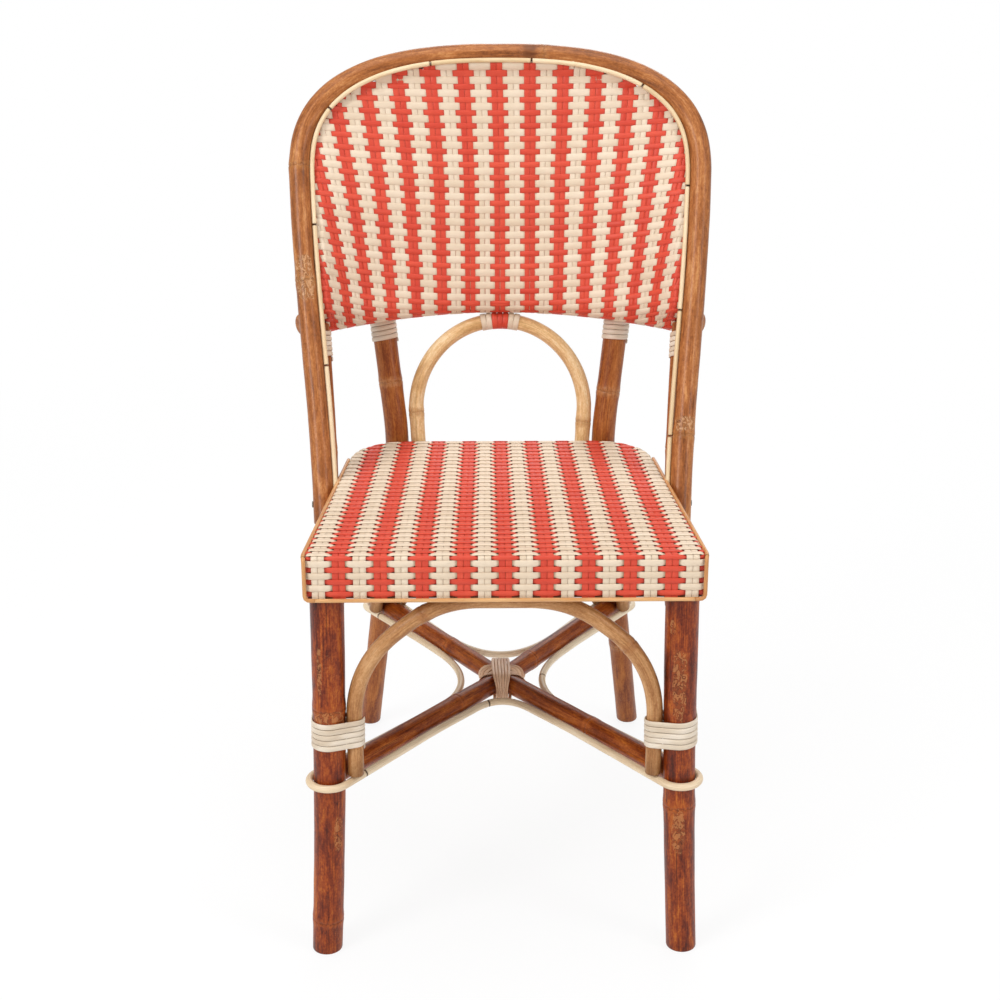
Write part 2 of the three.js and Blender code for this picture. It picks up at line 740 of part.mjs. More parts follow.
// Seat: rails inside a woven cover, with piping along its edges
function makeSeat() {
  const cover = seatPrism(0, seatBottomHeight, seatTopHeight);
  const inner = seatPrism(
    seatWeaveThickness, seatBottomHeight - overrun, seatTopHeight - seatWeaveThickness);
  add("seat_weave", boreForScrews(cover.subtract(inner)), materials.weave);

  const railInset = seatWeaveThickness + clearance;
  const ring = seatPrism(railInset, seatRailBottom, seatRailTop).subtract(
    seatPrism(railInset + seatRailWidth, seatRailBottom - overrun, seatRailTop + overrun));
  const far = seatFrontWidth;
  const frontLine = railInset + seatRailWidth;
  const rearLine = seatDepth - railInset - seatRailWidth;
  const low = seatRailBottom - overrun;
  const high = seatRailTop + overrun;
  const block = (x0, y0, x1, y1) =>
    boxSolid(new THREE.Vector3(x0, y0, low), new THREE.Vector3(x1, y1, high));
  const front = ring.intersect(block(-far, -far, far, frontLine));
  const rear = ring.intersect(block(-far, rearLine, far, far + seatDepth));
  const middle = ring.intersect(block(-far, frontLine + clearance, far, rearLine - clearance));
  const left = middle.intersect(block(-far, -far, 0, far + seatDepth));
  const right = middle.intersect(block(0, -far, far, far + seatDepth));
  let bored = front;
  for (const side of [1, -1]) {
    const from = frontLegAt(side, seatBottomHeight - overrun);
    const to = frontLegAt(side, seatBottomHeight + tenonHeight + clearance * 2);
    bored = bored.subtract(rod(from, to, tenonRadius + clearance, poleSides + 2));
  }
  add("seat_rail_front", bored, materials.rail);
  add("seat_rail_rear", rear, materials.rail);
  add("seat_rail_left", boreForScrews(left), materials.rail);
  add("seat_rail_right", boreForScrews(right), materials.rail);
}

function makePiping() {
  const off = pipingRadius + clearance;
  const half = seatFrontWidth / 2;
  const height = seatTopHeight - pipingRadius;
  const cornerCut = pipingRadius * 2;
  const rearDepth = hoopPlanePoint(0, height, 0).y - (hoopRadius + off) / Math.cos(hoopLean);
  const underHeight = seatBottomHeight - clearance - pipingRadius;
  for (const [name, side] of [["seat_piping_right", 1], ["seat_piping_left", -1]]) {
    const beside = (depth) => new THREE.Vector3(side * (seatHalfWidthAt(depth) + off), depth, height);
    const points = [
      beside(rearDepth),
      beside(seatFrontCorner),
      new THREE.Vector3(side * (half + 2 * clearance), -2 * clearance, height),
      new THREE.Vector3(
        side * (half + 2 * clearance), -2 * clearance, underHeight + pipingRadius + clearance),
    ];
    const path = roundedPath(points, [cornerCut, cornerCut]);
    add(name, poleAlong(smoothPoints(path, 1, 4), pipingRadius, rodSides), materials.piping);
  }
  const ends = [-half, half].map((x) => new THREE.Vector3(x, -clearance * 2, underHeight));
  add("seat_piping_front", rod(ends[0], ends[1], pipingRadius, rodSides), materials.piping);
}

// Arches under the seat
const archBarHeight = seatBottomHeight - clearance - archRadius;

function makeFrontArch() {
  const place = (x, z) => new THREE.Vector3(x, frontLegDepth, z);
  const shoulder = archFootHeight + archRise * frontArchLimbShare;
  const half = [[frontArchHalfWidth, archFootHeight], [frontArchHalfWidth, shoulder],
    [frontArchBarHalf, archBarHeight]];
  const points = half.map(([x, z]) => place(x, z))
    .concat(half.slice().reverse().map(([x, z]) => place(-x, z)));
  const path = roundedPath(points, [frontArchBendCut, archBendCut, archBendCut, frontArchBendCut]);
  add("front_arch", poleAlong(smoothPoints(path, 1, 4), archRadius, poleSides - 2), materials.lightPole);
}

// Where a limb stands beside a leg, turned away from the leg's axis by an angle in plan
function limbOffset(legRadius, angle) {
  const reach = legRadius + archRadius + clearance;
  return new THREE.Vector3(reach * Math.cos(angle), reach * Math.sin(angle), 0);
}

const rearStretch = Math.hypot(rearLegFootDepth - rearLegBendDepth, rearLegBendHeight) / rearLegBendHeight;

function sideLimbFront(side, height) {
  const radius = frontLegRadiusAt(height) + frontLegNodeSwell;
  const offset = limbOffset(radius, Math.PI / 2 - limbTurn);
  return frontLegAt(side, height).add(new THREE.Vector3(side * offset.x, offset.y, 0));
}

function sideLimbRear(side, height) {
  const offset = limbOffset(rearLegRadius, -Math.PI / 2 + limbTurn);
  return rearLegAt(side, height).add(
    new THREE.Vector3(side * offset.x, offset.y * rearStretch, 0));
}

function rearLimb(side, height) {
  const offset = limbOffset(rearLegRadius + clearance, Math.PI);
  return rearLegAt(side, height).add(new THREE.Vector3(side * offset.x, 0, 0));
}

function makeSideArches() {
  for (const [name, side] of [["right_arch", 1], ["left_arch", -1]]) {
    const railX = (depth) =>
      side * (seatHalfWidthAt(depth) - seatWeaveThickness - seatRailWidth / 2);
    const frontBar = frontLegDepth + sideArchBarInset;
    const rearBar = seatDepth - sideArchBarInset;
    const points = [
      sideLimbFront(side, archFootHeight),
      sideLimbFront(side, archFootHeight + limbStraight),
      new THREE.Vector3(railX(frontBar), frontBar, archBarHeight),
      new THREE.Vector3(railX(rearBar), rearBar, archBarHeight),
      sideLimbRear(side, archFootHeight + limbStraight),
      sideLimbRear(side, archFootHeight),
    ];
    const path = roundedPath(points, [limbBendCut, archBendCut, archBendCut, limbBendCut]);
    add(name, poleAlong(smoothPoints(path, 1, 4), archRadius, poleSides - 2), materials.lightPole);
  }
}

function makeRearArch() {
  const barDepth = seatDepth - seatWeaveThickness - seatRailWidth / 2;
  const half = [
    (side) => rearLimb(side, archFootHeight),
    (side) => rearLimb(side, archFootHeight + limbStraight),
    (side) => new THREE.Vector3(side * rearArchBarHalf, barDepth, archBarHeight),
  ];
  const points = half.map((place) => place(1))
    .concat(half.slice().reverse().map((place) => place(-1)));
  const path = roundedPath(points, [limbBendCut, archBendCut, archBendCut, limbBendCut]);
  add("rear_arch", poleAlong(smoothPoints(path, 1, 4), archRadius, poleSides - 2), materials.lightPole);
}

// Braces: one bent pole joins the front legs, another the rear legs
const braceMiddle = new THREE.Vector3(0, braceMeetingDepth, braceHeight);

function bracePath(legAt) {
  const right = legAt(1, braceHeight);
  const left = legAt(-1, braceHeight);
  const halfAngle = Math.atan2(right.x, Math.abs(right.y - braceMiddle.y));
  const cut = (2 * braceRadius + clearance) / Math.cos(halfAngle);
  return roundedPath([left, braceMiddle, right], [cut]);
}

// Round posts that take the place of the legs and the rear arch's limbs, larger by the fit
function legCores() {
  const cores = [];
  for (const side of [1, -1]) {
    cores.push(rod(
      frontLegAt(side, 0), frontLegAt(side, seatBottomHeight),
      frontLegRadiusAt(braceHeight) + clearance * 3, poleSides * 2));
    cores.push(rod(
      rearLegAt(side, 0), rearLegAt(side, rearLegBendHeight),
      rearLegRadius + clearance * 2, poleSides * 2));
    cores.push(rod(
      rearLimb(side, archFootHeight - clearance), rearLimb(side, archFootHeight + limbStraight),
      archRadius + clearance, poleSides));
  }
  return cores.reduce((a, b) => a.add(b));
}

function makeBraces() {
  const cores = legCores();
  for (const [name, legAt] of [["brace_front", frontLegAt], ["brace_rear", rearLegAt]]) {
    const pole = solidOf(poleAlong(smoothPoints(bracePath(legAt), 1, 8), braceRadius));
    add(name, largestBody(pole.subtract(cores)), materials.darkPole);
  }
}

// How far the two braces reach forwards and backwards within a width across
function braceReach(half) {
  let reach = 0;
  for (const legAt of [frontLegAt, rearLegAt]) {
    const path = bracePath(legAt);
    const fine = 60;
    for (const piece of path.curves) {
      for (let i = 0; i <= fine; i++) {
        const point = piece.getPoint(i / fine);
        if (Math.abs(point.x) > half) continue;
        const away = Math.abs(point.y - braceMiddle.y);
        reach = Math.max(reach, away + braceRadius / Math.abs(piece.getTangent(i / fine).x));
      }
    }
  }
  return reach;
}

const strapRadius = braceRadius * (1 + postSag) + lashingThickness + 3 * clearance;

// How far the inside of the strap round the crossing lies from its middle
function strapWithin() {
  return braceReach((lashingPitch * (strapTurns + 1)) / 2) + clearance;
}

// Rods: one closed line in plan, running out and back beside every arm of the braces. It leaves the arms
// where the rounding of each corner begins, so that the middle of the rounding lies on the apex.
function rodLegs() {
  const tilt = (rearLegFootDepth - rearLegBendDepth) / rearLegBendHeight;
  const frontRing = frontLegRadiusAt(rodHeight) + rodRadius + 4 * clearance;
  const rearRing = rearLegRadius * rearStretch + rodRadius * (1 + tilt) + 4 * clearance;
  return [
    { at: frontLegAt(-1, rodHeight), ring: frontRing },
    { at: frontLegAt(1, rodHeight), ring: frontRing },
    { at: rearLegAt(1, rodHeight), ring: rearRing },
    { at: rearLegAt(-1, rodHeight), ring: rearRing },
  ];
}

// Lengths along two directions in plan that add up to a given shift
function sharesOf(shift, first, second) {
  const whole = first.x * second.y - first.y * second.x;
  return [
    (shift.x * second.y - shift.y * second.x) / whole,
    (first.x * shift.y - first.y * shift.x) / whole,
  ];
}

function rodPoints() {
  const middle = new THREE.Vector3(0, braceMeetingDepth, rodHeight);
  const off = braceRadius + rodRadius + 2 * clearance;
  const legs = rodLegs().map((leg) => {
    const out = new THREE.Vector3().subVectors(leg.at, middle).normalize();
    return { ...leg, out, across: new THREE.Vector3(out.y, -out.x, 0) };
  });
  const strapOutside = strapWithin() + strapRadius * postSag + lashingThickness;
  const rodFrontReach = strapOutside + rodFrontPlay + rodRadius;
  const apexes = [
    [0, -rodFrontReach],
    [rodSideReach, 0],
    [0, rodRearReach],
    [-rodSideReach, 0],
  ];
  const points = [];
  const ringSteps = 8;
  const bendSteps = 8;
  legs.forEach((leg, i) => {
    const next = legs[(i + 1) % legs.length];
    for (let k = 0; k <= ringSteps; k++) {
      const angle = (1 / 2 - k / ringSteps) * Math.PI;
      points.push(leg.at.clone()
        .addScaledVector(leg.out, leg.ring * Math.cos(angle))
        .addScaledVector(leg.across, leg.ring * Math.sin(angle)));
    }
    const start = middle.clone().addScaledVector(leg.across, -off);
    const end = middle.clone().addScaledVector(next.across, off);
    const [along] = sharesOf(end.clone().sub(start), leg.out, next.out);
    const corner = start.clone().addScaledVector(leg.out, along);
    const apex = new THREE.Vector3(apexes[i][0], braceMeetingDepth + apexes[i][1], rodHeight);
    const cuts = sharesOf(apex.sub(corner).multiplyScalar(4), leg.out, next.out);
    const bend = new THREE.QuadraticBezierCurve3(
      corner.clone().addScaledVector(leg.out, cuts[0]), corner,
      corner.clone().addScaledVector(next.out, cuts[1]));
    pushStraight(points, bend.v0);
    for (let k = 1; k <= bendSteps; k++) points.push(bend.getPoint(k / bendSteps));
    pushStraight(points, next.at.clone().addScaledVector(next.across, next.ring));
    points.pop();
  });
  return points;
}

function pushStraight(points, end) {
  const start = points[points.length - 1];
  const steps = Math.max(Math.round(start.distanceTo(end) / rodStraightStep), 1);
  for (let k = 1; k <= steps; k++) points.push(start.clone().lerp(end, k / steps));
}

function makeRods() {
  const points = rodPoints();
  const joints = rodJointShares.map((share) => Math.round(share * points.length));
  joints.forEach((start, i) => {
    const end = joints[(i + 1) % joints.length];
    const count = (end - start + points.length) % points.length;
    const piece = Array.from({ length: count + 1 }, (unused, k) => (
      points[(start + k) % points.length].clone()));
    for (const [from, to] of [[0, 1], [count, count - 1]]) {
      const gap = new THREE.Vector3().subVectors(piece[to], piece[from]).setLength(rodJointGap / 2);
      piece[from].add(gap);
    }
    add("loop_rod_" + (i + 1), poleAlong(piece, rodRadius, rodSides), materials.paleCane);
  });
}

// Windings of flat cane round one or more poles. The poles are circles in the plane across the winding,
// and the cane lies taut round them all.
function supportingPole(poles, angle) {
  const way = new THREE.Vector2(Math.cos(angle), Math.sin(angle));
  const reaches = poles.map((pole) => pole.at.dot(way) + pole.radius);
  return reaches.indexOf(Math.max(...reaches));
}

// The angles of one turn at which the cane is drawn: evenly spaced on each pole that it lies on, with one
// at either end of each straight stretch.
function turnAngles(poles) {
  const fine = 720;
  const arcs = [];
  for (let i = 0; i < fine; i++) {
    const angle = (i / fine) * 2 * Math.PI;
    const pole = supportingPole(poles, angle);
    const last = arcs[arcs.length - 1];
    if (last && last.pole === pole) last.to = angle;
    else arcs.push({ pole, from: angle, to: angle });
  }
  if (arcs.length === 1) {
    const only = arcs[0].pole;
    return Array.from({ length: windingSteps }, (unused, i) => (
      { pole: only, angle: (i / windingSteps) * 2 * Math.PI }));
  }
  if (arcs[0].pole === arcs[arcs.length - 1].pole) arcs[0].from = arcs.pop().from - 2 * Math.PI;
  const places = [];
  for (const arc of arcs) {
    const steps = Math.max(Math.round(((arc.to - arc.from) / (2 * Math.PI)) * windingSteps), 1);
    for (let i = 0; i <= steps; i++) {
      places.push({ pole: arc.pole, angle: THREE.MathUtils.lerp(arc.from, arc.to, i / steps) });
    }
  }
  return places;
}

function winding(name, { turns, pitch, thickness, polesAt, place, material }) {
  const width = pitch - bindingGap;
  const places = turnAngles(polesAt(0));
  const centres = [];
  for (let i = 0; i <= turns * places.length; i++) {
    const { pole, angle } = places[i % places.length];
    const turn = Math.floor(i / places.length) + (angle - places[0].angle) / (2 * Math.PI);
    const along = (turn - turns / 2) * pitch;
    const { at, radius } = polesAt(along)[pole];
    const gap = clearance + thickness / 2 + radius * postSag;
    const out = new THREE.Vector3(Math.cos(angle), Math.sin(angle), 0);
    const centre = new THREE.Vector3(at.x, at.y, along).addScaledVector(out, radius + gap);
    centres.push({ centre, out });
  }
  const last = centres.length - 1;
  const lengthened = (end, next) => {
    const away = new THREE.Vector3().subVectors(centres[end].centre, centres[next].centre);
    return { centre: away.setLength(width).add(centres[end].centre), out: centres[end].out };
  };
  const whole = [lengthened(0, 1), ...centres, lengthened(last, last - 1)];
  const rings = whole.map(({ centre, out }) => {
    const corner = width / 4;
    const section = [
      [-width / 2, 0], [-corner, -thickness / 2], [corner, -thickness / 2],
      [width / 2, 0], [corner, thickness / 2], [-corner, thickness / 2],
    ];
    const up = new THREE.Vector3(0, 0, 1);
    return section.map(([a, b]) => centre.clone().addScaledVector(up, a).addScaledVector(out, b));
  });
  const least = leastGap(rings, places.length);
  console.log(name + " least gap to itself " + least.toFixed(2) + " mm");
  add(name, ribbonGeometry(rings.map((ring) => ring.map(place))), material);
}

// Least distance between a ring's points and the edges of rings about a turn away
function leastGap(rings, steps) {
  let least = Infinity;
  const line = new THREE.Line3();
  const near = new THREE.Vector3();
  rings.forEach((ring, i) => {
    for (let j = i + Math.floor(steps / 2); j < Math.min(i + steps * 2, rings.length - 1); j++) {
      for (let k = 0; k < ribbonSides; k++) {
        line.set(rings[j][k], rings[j + 1][k]);
        for (const point of ring) {
          line.closestPointToPoint(point, true, near);
          least = Math.min(least, near.distanceTo(point));
        }
      }
    }
  });
  return least;
}

function ribbonGeometry(rings) {
  const positions = [];
  const index = [];
  for (const ring of rings) for (const point of ring) positions.push(point.x, point.y, point.z);
  const sides = ribbonSides;
  for (let i = 0; i + 1 < rings.length; i++) {
    for (let k = 0; k < sides; k++) {
      const a = i * sides + k;
      const b = i * sides + ((k + 1) % sides);
      index.push(a, b, a + sides, b, b + sides, a + sides);
    }
  }
  const last = (rings.length - 1) * sides;
  for (let k = 1; k + 1 < sides; k++) {
    index.push(0, k + 1, k);
    index.push(last, last + k, last + k + 1);
  }
  const geometry = new THREE.BufferGeometry();
  geometry.setAttribute("position", new THREE.Float32BufferAttribute(positions, 3));
  geometry.setIndex(index);
  geometry.computeVertexNormals();
  if (solidOf(geometry).volume() < 0) {
    for (let i = 0; i < index.length; i += 3) {
      [index[i + 1], index[i + 2]] = [index[i + 2], index[i + 1]];
    }
    geometry.setIndex(index);
    geometry.computeVertexNormals();
  }
  return geometry;
}

// A frame of axes that stands on a point with its third axis along a line
function frameAlong(origin, axis) {
  const up = axis.clone().normalize();
  const across = new THREE.Vector3(1, 0, 0).addScaledVector(up, -up.x).normalize();
  const back = new THREE.Vector3().crossVectors(up, across);
  return {
    place: (p) => origin.clone()
      .addScaledVector(across, p.x).addScaledVector(back, p.y).addScaledVector(up, p.z),
    flat: (p) => {
      const from = p.clone().sub(origin);
      return new THREE.Vector2(from.dot(across), from.dot(back));
    },
  };
}

function makeLegBindings() {
  const length = bindingTurns * bindingPitch;
  const middle = legBindingHeight + length / 2;
  const limbRadius = archRadius + clearance;
  for (const [word, side] of [["right", 1], ["left", -1]]) {
    const frontAxis = frontLegAt(side, middle + length).sub(frontLegAt(side, middle));
    const frontFrame = frameAlong(frontLegAt(side, middle), frontAxis);
    const limb = new THREE.Vector3(side * frontArchHalfWidth, frontLegDepth, middle);
    const frontPoles = [
      { at: new THREE.Vector2(0, 0), radius: frontLegRadiusAt(middle + length) },
      { at: frontFrame.flat(limb), radius: limbRadius },
      { at: frontFrame.flat(sideLimbFront(side, middle)), radius: limbRadius },
    ];
    winding("binding_front_" + word, {
      turns: bindingTurns, pitch: bindingPitch, thickness: bindingThickness,
      polesAt: () => frontPoles, place: frontFrame.place, material: materials.cream,
    });
    const rearAxis = rearLegAt(side, middle + length).sub(rearLegAt(side, middle));
    const rearFrame = frameAlong(rearLegAt(side, middle), rearAxis);
    const rearPoles = [
      { at: new THREE.Vector2(0, 0), radius: rearLegRadius },
      { at: rearFrame.flat(sideLimbRear(side, middle)), radius: limbRadius },
      { at: rearFrame.flat(rearLimb(side, middle)), radius: limbRadius },
    ];
    winding("binding_rear_" + word, {
      turns: bindingTurns, pitch: bindingPitch, thickness: bindingThickness,
      polesAt: () => rearPoles, place: rearFrame.place, material: materials.cream,
    });
  }
}

function makeTopBindings() {
  const length = bindingTurns * topBindingPitch;
  const single = (radius) => () => [{ at: new THREE.Vector2(0, 0), radius }];
  for (const [word, side] of [["right", 1], ["left", -1]]) {
    const bend = rearLegAt(side, rearLegBendHeight);
    const rest = rearLegRest(side);
    const share = (legTopBindingTop - length / 2 - bend.z) / (rest.z - bend.z);
    const frame = frameAlong(bend.clone().lerp(rest, share), rest.clone().sub(bend));
    winding("leg_top_binding_" + word, {
      turns: bindingTurns, pitch: topBindingPitch, thickness: bindingThickness,
      polesAt: single(rearLegRadius), place: frame.place, material: materials.cream,
    });
    const low = postPoint(side, postBindingTop - length);
    const high = postPoint(side, postBindingTop);
    const post = frameAlong(low.clone().lerp(high, 1 / 2), high.clone().sub(low));
    winding("post_binding_" + word, {
      turns: bindingTurns, pitch: topBindingPitch, thickness: bindingThickness,
      polesAt: single(postRadius), place: post.place, material: materials.cream,
    });
  }
}

// Lashing of the braces: a band through the side crotches, then a strap over it through the front and
// rear crotches
function makeLashing() {
  const frontAngle = Math.atan2(
    frontLegAt(1, braceHeight).x, braceMeetingDepth - frontLegAt(1, braceHeight).y);
  const bendRadius = (braceRadius + clearance / 2) / (1 / Math.sin(frontAngle) - 1);
  const outer = bendRadius + braceRadius + clearance;
  const waist = (along) => {
    const level = outer - Math.abs(along) - lashingPitch / 2;
    return Math.sqrt(outer * outer - level * level);
  };
  winding("brace_band", {
    turns: bandTurns, pitch: lashingPitch, thickness: lashingThickness,
    polesAt: (along) => [1, -1].map((side) => ({
      at: new THREE.Vector2(side * Math.max(waist(along) + clearance - braceRadius, clearance), 0),
      radius: braceRadius,
    })),
    place: (p) => new THREE.Vector3(p.x, p.z, p.y).add(braceMiddle),
    material: materials.strap,
  });
  const strapSpread = strapWithin() - strapRadius;
  winding("brace_strap", {
    turns: strapTurns, pitch: lashingPitch, thickness: lashingThickness,
    polesAt: () => [1, -1].map((side) => ({
      at: new THREE.Vector2(side * strapSpread, 0), radius: strapRadius,
    })),
    place: (p) => new THREE.Vector3(p.z, p.x, p.y).add(braceMiddle),
    material: materials.strap,
  });
}

makeFrontLegs();
makeRearLegs();
makeHoop();
makeInnerFrame();
makePosts();
makeBeads();
makeBackWeave();
makeLowerRail();
makeBackArch();
makeSeat();
makePiping();
makeFrontArch();
makeSideArches();
makeRearArch();
makeBraces();
makeRods();
makeLegBindings();
makeTopBindings();
makeLashing();
makeScrews();

// The origin lies on the floor, under the middle of the whole chair.
const bounds = new THREE.Box3().setFromObject(body);
body.position.set(
  -(bounds.min.x + bounds.max.x) / 2, -(bounds.min.y + bounds.max.y) / 2, -bounds.min.z);

export default chair;
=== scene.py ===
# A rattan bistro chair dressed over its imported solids. Sizes are in millimetres: X across, Y backwards from
# the front face of the seat, Z up. They become metres in the row's frame when a mesh is made.
import math

import bpy
import numpy as np
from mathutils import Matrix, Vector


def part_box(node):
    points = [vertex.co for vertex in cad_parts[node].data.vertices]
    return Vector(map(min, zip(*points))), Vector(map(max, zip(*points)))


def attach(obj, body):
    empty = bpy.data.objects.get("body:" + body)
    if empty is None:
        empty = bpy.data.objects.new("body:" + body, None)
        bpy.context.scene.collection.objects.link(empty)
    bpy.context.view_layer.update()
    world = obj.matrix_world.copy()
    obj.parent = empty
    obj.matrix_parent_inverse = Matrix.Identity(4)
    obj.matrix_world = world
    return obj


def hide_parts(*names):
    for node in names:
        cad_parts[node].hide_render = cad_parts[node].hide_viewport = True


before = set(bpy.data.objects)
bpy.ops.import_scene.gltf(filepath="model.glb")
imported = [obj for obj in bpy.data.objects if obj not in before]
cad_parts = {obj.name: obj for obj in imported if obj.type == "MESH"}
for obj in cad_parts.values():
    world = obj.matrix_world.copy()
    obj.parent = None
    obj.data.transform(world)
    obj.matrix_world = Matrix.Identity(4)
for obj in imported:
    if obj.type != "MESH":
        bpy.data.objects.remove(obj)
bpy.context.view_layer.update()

MM = 0.001
WHOLE_TURN = 2 * math.pi
SIDES = (("right", 1), ("left", -1))
seat_low, seat_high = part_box("seat_weave")
strap_low, strap_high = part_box("brace_strap")
FRONT_FACE = seat_low.y
STRAP_FRONT = (strap_low.y - FRONT_FACE) / MM
STRAP_REACH = (strap_high.y - strap_low.y) / 2 / MM
STRAP_RISE = (strap_high.z - strap_low.z) / 2 / MM
CLEARANCE = 0.3

# Seat
SEAT_TOP = seat_high.z / MM
SEAT_BOTTOM = seat_low.z / MM
SEAT_FRONT_HALF = seat_high.x / MM
SEAT_REAR_HALF = 165.5
SEAT_DEPTH = (seat_high.y - seat_low.y) / MM
SEAT_FRONT_CORNER = 5.5
SEAT_REAR_CORNER = 70
SEAT_FRONT_ROLL = 5
SEAT_SIDE_ROLL = 2.2
SEAT_TUCK_ROLL = 0.7
SEAT_TUCK = 9
SEAT_UNDER = -1.1
PIPING_RADIUS = 2
PIPING_SINK = 0.9
PIPING_BEND = 5
PIPING_REAR = 300

# Front legs
FRONT_LEG_FOOT_X = 188
FRONT_LEG_TOP_X = 175.5
FRONT_LEG_DEPTH = 18.8
FRONT_LEG_TOP_RADIUS = 17
FRONT_LEG_FOOT_RADIUS = 15.7
FRONT_LEG_BOW = 2.6

# Hoop, inner frame and side posts
HOOP_RADIUS = 12
HOOP_END_RADIUS = 11.2
HOOP_FOOT_HEIGHT = SEAT_TOP - 44
HOOP_FOOT_DEPTH = 204
HOOP_STANDOFF = 1.9
HOOP_SPREAD = 29.5
HOOP_RISE = 475
HOOP_WIDEST_SHARE = 0.747
HOOP_LEAN = math.radians(25.2)
HOOP_CROWN_POWER = 2.6
HOOP_CROWN = HOOP_FOOT_HEIGHT + HOOP_RISE
HOOP_WIDEST = HOOP_FOOT_HEIGHT + HOOP_RISE * HOOP_WIDEST_SHARE
FRAME_RADIUS = 7
FRAME_INSET = 14
POST_RADIUS = 8.5
POST_INSET = 6
POST_TOP_INSET = 11
POST_SETBACK = 23.1
POST_FOOT_HEIGHT = SEAT_TOP - 41

# Lower back rail
RAIL_RADIUS = 12.5
RAIL_REACH = 225
RAIL_END = 223
RAIL_HEIGHT = SEAT_TOP + 156
RAIL_DROP = 8
RAIL_DEPTH = 410

# Rear legs
REAR_LEG_RADIUS = 13.5
REAR_LEG_FOOT_X = 173.6
REAR_LEG_FOOT_DEPTH = 546
REAR_LEG_BEND_X = 118.5
REAR_LEG_BEND_HEIGHT = SEAT_TOP - 12
REAR_LEG_BEND_DEPTH = SEAT_DEPTH + CLEARANCE + REAR_LEG_RADIUS - 4.7
REAR_LEG_BEND_CUT = 42
REAR_LEG_TOP_X = 138
REAR_LEG_TOP_HEIGHT = RAIL_HEIGHT + 14

# Woven back
PANEL_THICKNESS = 4
PANEL_PLAY = 1
PANEL_EDGE_PLAY = 1.4
PANEL_CORNER_POWER = 8
PANEL_CROWN_TURN = math.radians(41)
RAIL_WRAP_PLAY = 1.3
BEAD_RADIUS = 2.6
BEAD_PLAY = 0.2
BEAD_CROWN_TURN = math.radians(45)
BEAD_JOINT_GAP = 1.2
BEAD_JOINT_SHARES = [0.045, 0.156, 0.267, 0.371, 0.472, 0.561, 0.66, 0.767, 0.892]
BEAD_FOOT_DROP = 10

# Arches
BACK_ARCH_RADIUS = 8.5
BACK_ARCH_HALF_WIDTH = 98
BACK_ARCH_FOOT_X = 93.5
BACK_ARCH_FOOT_HEIGHT = SEAT_TOP - 42
TAB_WIDTH = 44
TAB_THICKNESS = 2
TAB_PLAY = 1.1
TAB_RISE = 0.8
TAB_STRANDS = 7
TAB_RED_STRANDS = (2, 3, 4)
TAB_STRAND_THICKNESS = 1.1
TAB_STRAND_GAP = 0.05
ARCH_RADIUS = 8.3
ARCH_FOOT_HEIGHT = 206
FRONT_ARCH_HALF_WIDTH = 152
FRONT_ARCH_BAR_HALF = 64
FRONT_ARCH_LIMB_SHARE = 0.641
FRONT_ARCH_BEND_SHARE = 0.31
SIDE_ARCH_BAR_INSET = 88
REAR_ARCH_BAR_HALF = 48
LIMB_TURN = math.radians(20)
SEAT_RAIL_SETBACK = 18.5
ARCH_BAR_HEIGHT = SEAT_BOTTOM - CLEARANCE - ARCH_RADIUS
ARCH_RISE = ARCH_BAR_HEIGHT - ARCH_FOOT_HEIGHT
ARCH_BEND_CUT = ARCH_RISE * 0.207
LIMB_BEND_CUT = ARCH_BEND_CUT * 0.7
LIMB_STRAIGHT = ARCH_RISE * 0.538
FRONT_ARCH_BEND_CUT = ARCH_RISE * FRONT_ARCH_BEND_SHARE

# Braces, rods and windings
BRACE_RADIUS = 11.1
BRACE_HEIGHT = 204
BRACE_MEETING_DEPTH = 246
BRACE_INSET = 11
ROD_RADIUS = 4.0
ROD_HEIGHT = 197
ROD_LEG_RISE = 3.5
ROD_LEVEL_REACH = 40
ROD_RISE_REACH = 160
ROD_FRONT_PLAY = 4.6
ROD_SIDE_REACH = 47
ROD_REAR_REACH = 79
ROD_JOINTS = ((-146, 31), (-15, 197), (47, 265), (-150, 435))
ROD_JOINT_GAP = 1
BINDING_PITCH = 6.1
BINDING_THICKNESS = 1.6
BINDING_TURNS = 5
BINDING_BOTTOM = ARCH_FOOT_HEIGHT + LIMB_STRAIGHT - ARCH_BEND_CUT - BINDING_TURNS * BINDING_PITCH
TOP_BINDING_PITCH = 5.7
LEG_BINDING_TOP = RAIL_HEIGHT - 17
POST_BINDING_TOP = RAIL_HEIGHT - 5
STRAND_PITCH = 3.3
STRAND_THICKNESS = 1.2
STRAND_GAP = 0.25
WINDING_STEP = 2.5
HULL_SAMPLES = 180
STRAP_PITCH = 3.6
STRAP_TURNS = 6
STRAP_WAIST = 0.38
BAND_TURNS = 8

# Weave. Its wefts run across and its warps run in pairs from front to back, or up the back.
WEFT_STEP = 6.3
WEFT_START = -6.7
WEFT_ROWS = range(-5, 69)
WEFT_PAIRS = 14.5
WEFT_BIAS = 0.15
WARP_PAIRS = range(-12, 13)
WALL_PAIRS = 9
WARP_LIFT = 0.4
WARP_GAP = 0.15
WARP_START = -56
WARP_END = SEAT_DEPTH + 62
PAIR_STEP = 20.23
PAIR_HALF = 6.5
STRIPE_TAPER = 0.1 / 325
SEAT_SINK = 1.6
# A thin dark sheet under the seat's weave, whose colour is painted shade
SHADE_SHEET_SINK = 3.2
SHADE_SHEET_THICKNESS = 0.6
SHADE_SHEET_STEP = 4
SHADE_SHEET_REACH = 236
SHADE_SHEET_START = -47
SHADE_SHEET_END = SEAT_DEPTH + 50
EDGE_SAMPLES = 720
FOLD_BATCH = 20000
WEFT_SAMPLE = 1 / 8
WEFT_END = 0.01
SHORTEST_RUN = 12
SEAT_LIFT = {"cream": 1.05, "red": 0.85}
SEAT_WEFT_WIDTH = {"cream": 6.75, "red": 5.9}
SEAT_WEFT_PINCH = 0.3
BACK_LOW = 600
BACK_ROW_STEP = 6.1
BACK_FIRST_ROW = 3
BACK_WRAP_ROWS = 7
